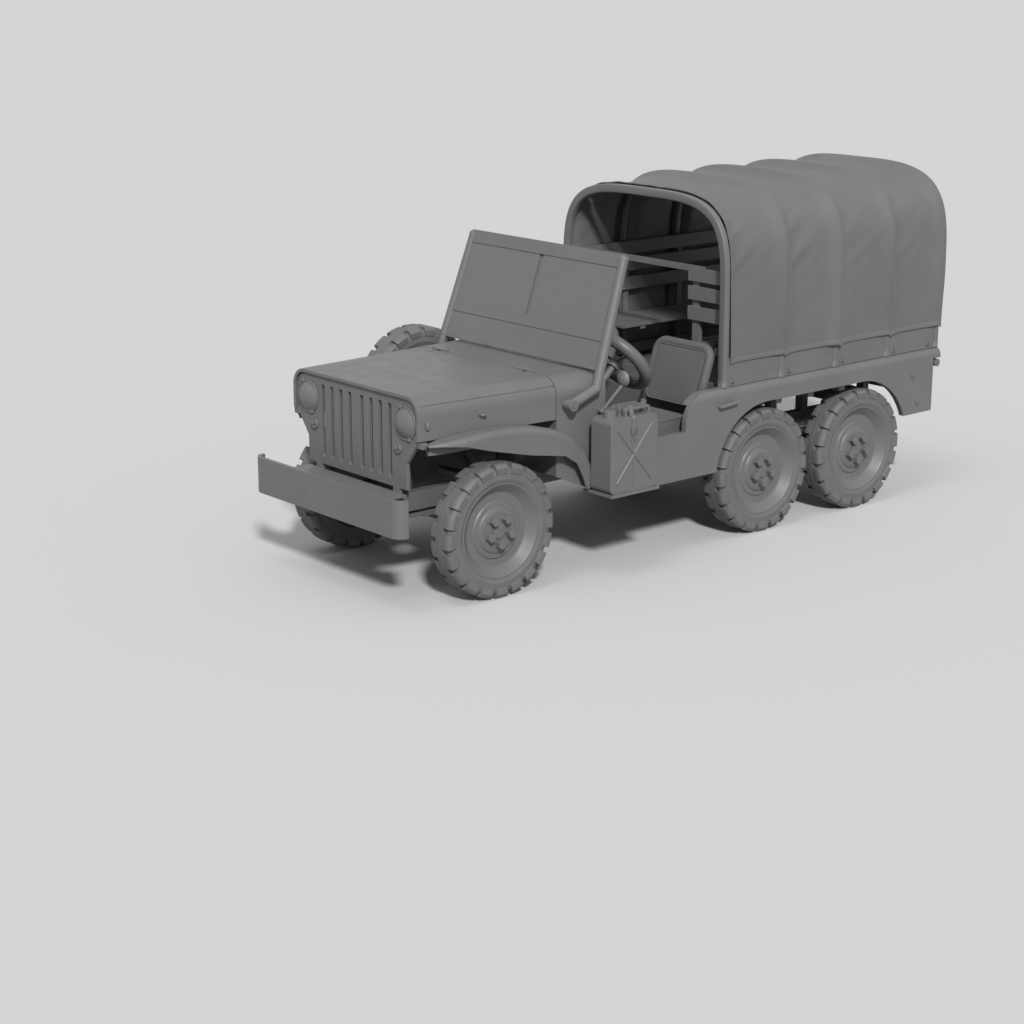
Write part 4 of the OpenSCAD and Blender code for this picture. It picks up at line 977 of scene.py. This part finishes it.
def reflectors():
    """Round reflectors on the rear corners of the body."""
    shapes = []
    for node, side in (("body_side_left", 1), ("body_side_right", -1)):
        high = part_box(node)[1]
        skin = surface(node)
        for ahead, below in REFLECTORS:
            hit = on_side(skin, side, high.y - ahead, high.z - below)
            if hit is not None:
                shapes.append(turned(REFLECTOR, hit, (side, 0, 0), 24))
    mesh_piece("reflectors", *merged(shapes), "black_fittings", "chassis")


rope_cleats()
reflectors()


# Lamps

# Lamps wider than this radius are head lamps; rims of both kinds
HEAD_LAMP = 0.06
HEAD_RIM = 0.006
MARKER_RIM = 0.004
# Adjusters of a head lamp: where round the rim in degrees, how far out, and (radius, height)
ADJUSTERS = (115, 295)
ADJUSTER_OUT = 1.04
ADJUSTER_BACK = 0.002
ADJUSTER = ((0.013, -0.004), (0.013, 0.008), (0.010, 0.013), (0.004, 0.015))
# Crossed bars of a marker lamp: their turns in degrees, reach, bulge and thickness
BARS = (20, 110)
BAR_REACH = 0.95
BAR_BULGE = 0.006
BAR_THICK = 0.003


def round_lamp(middle, radius, turn, y):
    """A place at a radius and an angle round a lamp's middle."""
    return Vector((middle.x + math.cos(turn) * radius, y, middle.z + math.sin(turn) * radius))


def lamp_trim():
    """Rims and adjusters of the head lamps, rims and bars of the marker lamps."""
    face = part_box("grille")[0].y
    shapes = []
    for points in islands("lamps"):
        low, high = Vector(points.min(0)), Vector(points.max(0))
        middle = (low + high) / 2
        radius = (high.x - low.x) / 2
        large = radius > HEAD_LAMP
        rim = HEAD_RIM if large else MARKER_RIM
        ring = [round_lamp(middle, radius, a, face - rim * 0.5) for a in turns(48)]
        shapes.append(sweep(ring, rim, up=ALONG, closed=True))
        for degrees in ADJUSTERS if large else ():
            place = round_lamp(middle, radius * ADJUSTER_OUT, math.radians(degrees), face + ADJUSTER_BACK)
            shapes.append(turned(ADJUSTER, place, -ALONG))
        for degrees in () if large else BARS:
            bar = []
            for t in np.linspace(-1.0, 1.0, 9):
                y = low.y - BAR_BULGE * (1 - t * t)
                bar.append(round_lamp(middle, t * radius * BAR_REACH, math.radians(degrees), y))
            shapes.append(sweep(bar, BAR_THICK, up=ALONG, sides=8))
    mesh_piece("lamp_trim", *merged(shapes), "body_paint", "chassis")


lamp_trim()


# Cab fittings

# Grip: its skin over the steering wheel's rim, and the shares of the radius where the wheel's middle
# ends and its rim begins
GRIP_SKIN = 0.007
WHEEL_MIDDLE = 0.5
WHEEL_RIM = 0.9
# Dials: below the cowl's top, (offset, radius) of each, rim's width, and where the rays at them start
DIALS_BELOW = 0.075
DIALS = ((-0.15, 0.026), (-0.085, 0.026), (0.0, 0.045), (0.085, 0.026), (0.15, 0.026))
DIAL_RIM = 0.006
DIALS_BEHIND = 0.3


def wheel_grip():
    """Thick moulded grip round the steering wheel's rim."""
    points = places(frame["nodes"]["steering_wheel"].data)
    low, high = points.min(0), points.max(0)
    reach = (high[0] - low[0]) / 2
    middle = points[np.abs(points[:, 0] - (low[0] + high[0]) / 2) < WHEEL_MIDDLE * reach]
    across = Vector((1, 0, 0))
    along = Vector(middle[middle[:, 2].argmax()] - middle[middle[:, 2].argmin()])
    along.x = 0
    along.normalize()
    axis = across.cross(along)
    centre = Vector((low + high) / 2)
    spread = []
    for point in points:
        arm = Vector(point) - centre
        height = axis.dot(arm)
        if (arm - axis * height).length > reach * WHEEL_RIM:
            spread.append(height)
    centre += axis * ((max(spread) + min(spread)) / 2)
    tube = (max(spread) - min(spread)) / 2
    ring = [centre + (across * math.cos(a) + along * math.sin(a)) * (reach - tube) for a in turns(64)]
    grip = sweep(ring, tube + GRIP_SKIN, up=axis, sides=16, closed=True)
    mesh_piece("wheel_grip", *grip, "black_fittings", "steering_wheel")


def instrument_dials():
    """Blank dials on the instrument panel, the middle one larger."""
    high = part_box("cowl")[1]
    panel = surface("cowl")
    shapes = []
    for offset, radius in DIALS:
        start = Vector((offset, high.y + DIALS_BEHIND, high.z - DIALS_BELOW))
        hit = panel.ray_cast(start, -ALONG)[0]
        if hit is not None:
            rim = radius + DIAL_RIM
            bezel = [(rim, -0.002), (rim, 0.005), (radius + DIAL_RIM / 2, 0.008), (radius, 0.007)]
            glass = [(radius - 0.002, 0.003), (0.004, 0.003)]
            shapes.append(turned(bezel + glass, hit, ALONG, 32))
    mesh_piece("instrument_dials", *merged(shapes), "black_fittings", "chassis")


wheel_grip()
instrument_dials()


# Stage, light and camera

def seen_directly(tree):
    """1 for rays from the camera, mirror rays and rays through glass, else 0."""
    path = add_node(tree, "ShaderNodeLightPath")
    seen = combine(tree, "MAXIMUM", path.outputs["Is Camera Ray"], path.outputs["Is Glossy Ray"])
    return combine(tree, "MAXIMUM", seen, path.outputs["Is Transmission Ray"])


def stage():
    """Plain pale floor."""
    floor, tree, shader = new_material("floor")
    tone = to_range(tree, seen_directly(tree), FLOOR_LIGHT, FLOOR_SEEN, from_low=0.0, from_high=1.0)
    tree.links.new(grey(tree, tone), shader.inputs["Base Color"])
    shader.inputs["Roughness"].default_value = 0.95
    shader.inputs["Specular IOR Level"].default_value = 0.0
    mesh = bpy.data.meshes.new("floor")
    reach = FLOOR_REACH
    corners = [(-reach, -reach, 0), (reach, -reach, 0), (reach, reach, 0), (-reach, reach, 0)]
    mesh.from_pydata(corners, [], [(0, 1, 2, 3)])
    piece = bpy.data.objects.new("floor", mesh)
    bpy.context.scene.collection.objects.link(piece)
    mesh.materials.append(floor)


def light():
    """Soft suns from the left and the front, and a dim pale world, seen paler than it shines."""
    for name, (from_side, strength, degrees) in SUNS.items():
        data = bpy.data.lights.new(name, "SUN")
        data.energy = strength
        data.angle = math.radians(degrees)
        sun = bpy.data.objects.new(name, data)
        sun.rotation_euler = Vector(from_side).to_track_quat("Z", "Y").to_euler()
        bpy.context.scene.collection.objects.link(sun)
    world = bpy.data.worlds.new("studio")
    world.use_nodes = True
    tree = world.node_tree
    background = tree.nodes["Background"]
    background.inputs["Color"].default_value = (1, 1, 1, 1)
    strength = to_range(tree, seen_directly(tree), WORLD_LIGHT, WORLD_SEEN, from_low=0.0, from_high=1.0)
    tree.links.new(strength, background.inputs["Strength"])
    bpy.context.scene.world = world


def camera():
    """Camera at the photograph's angle."""
    data = bpy.data.cameras.new("camera")
    data.lens = CAMERA_LENS
    data.sensor_width = SENSOR
    data.clip_end = CLIP_END
    view = bpy.data.objects.new("camera", data)
    forward = Vector((-math.sin(CAMERA_AZIMUTH) * math.cos(CAMERA_FALL),
                      math.cos(CAMERA_AZIMUTH) * math.cos(CAMERA_FALL), -math.sin(CAMERA_FALL)))
    view.location = CAMERA_EYE
    view.rotation_euler = forward.to_track_quat("-Z", "Y").to_euler()
    bpy.context.scene.collection.objects.link(view)
    bpy.context.scene.camera = view


stage()
light()
camera()
bpy.context.scene.view_settings.view_transform = "Standard"
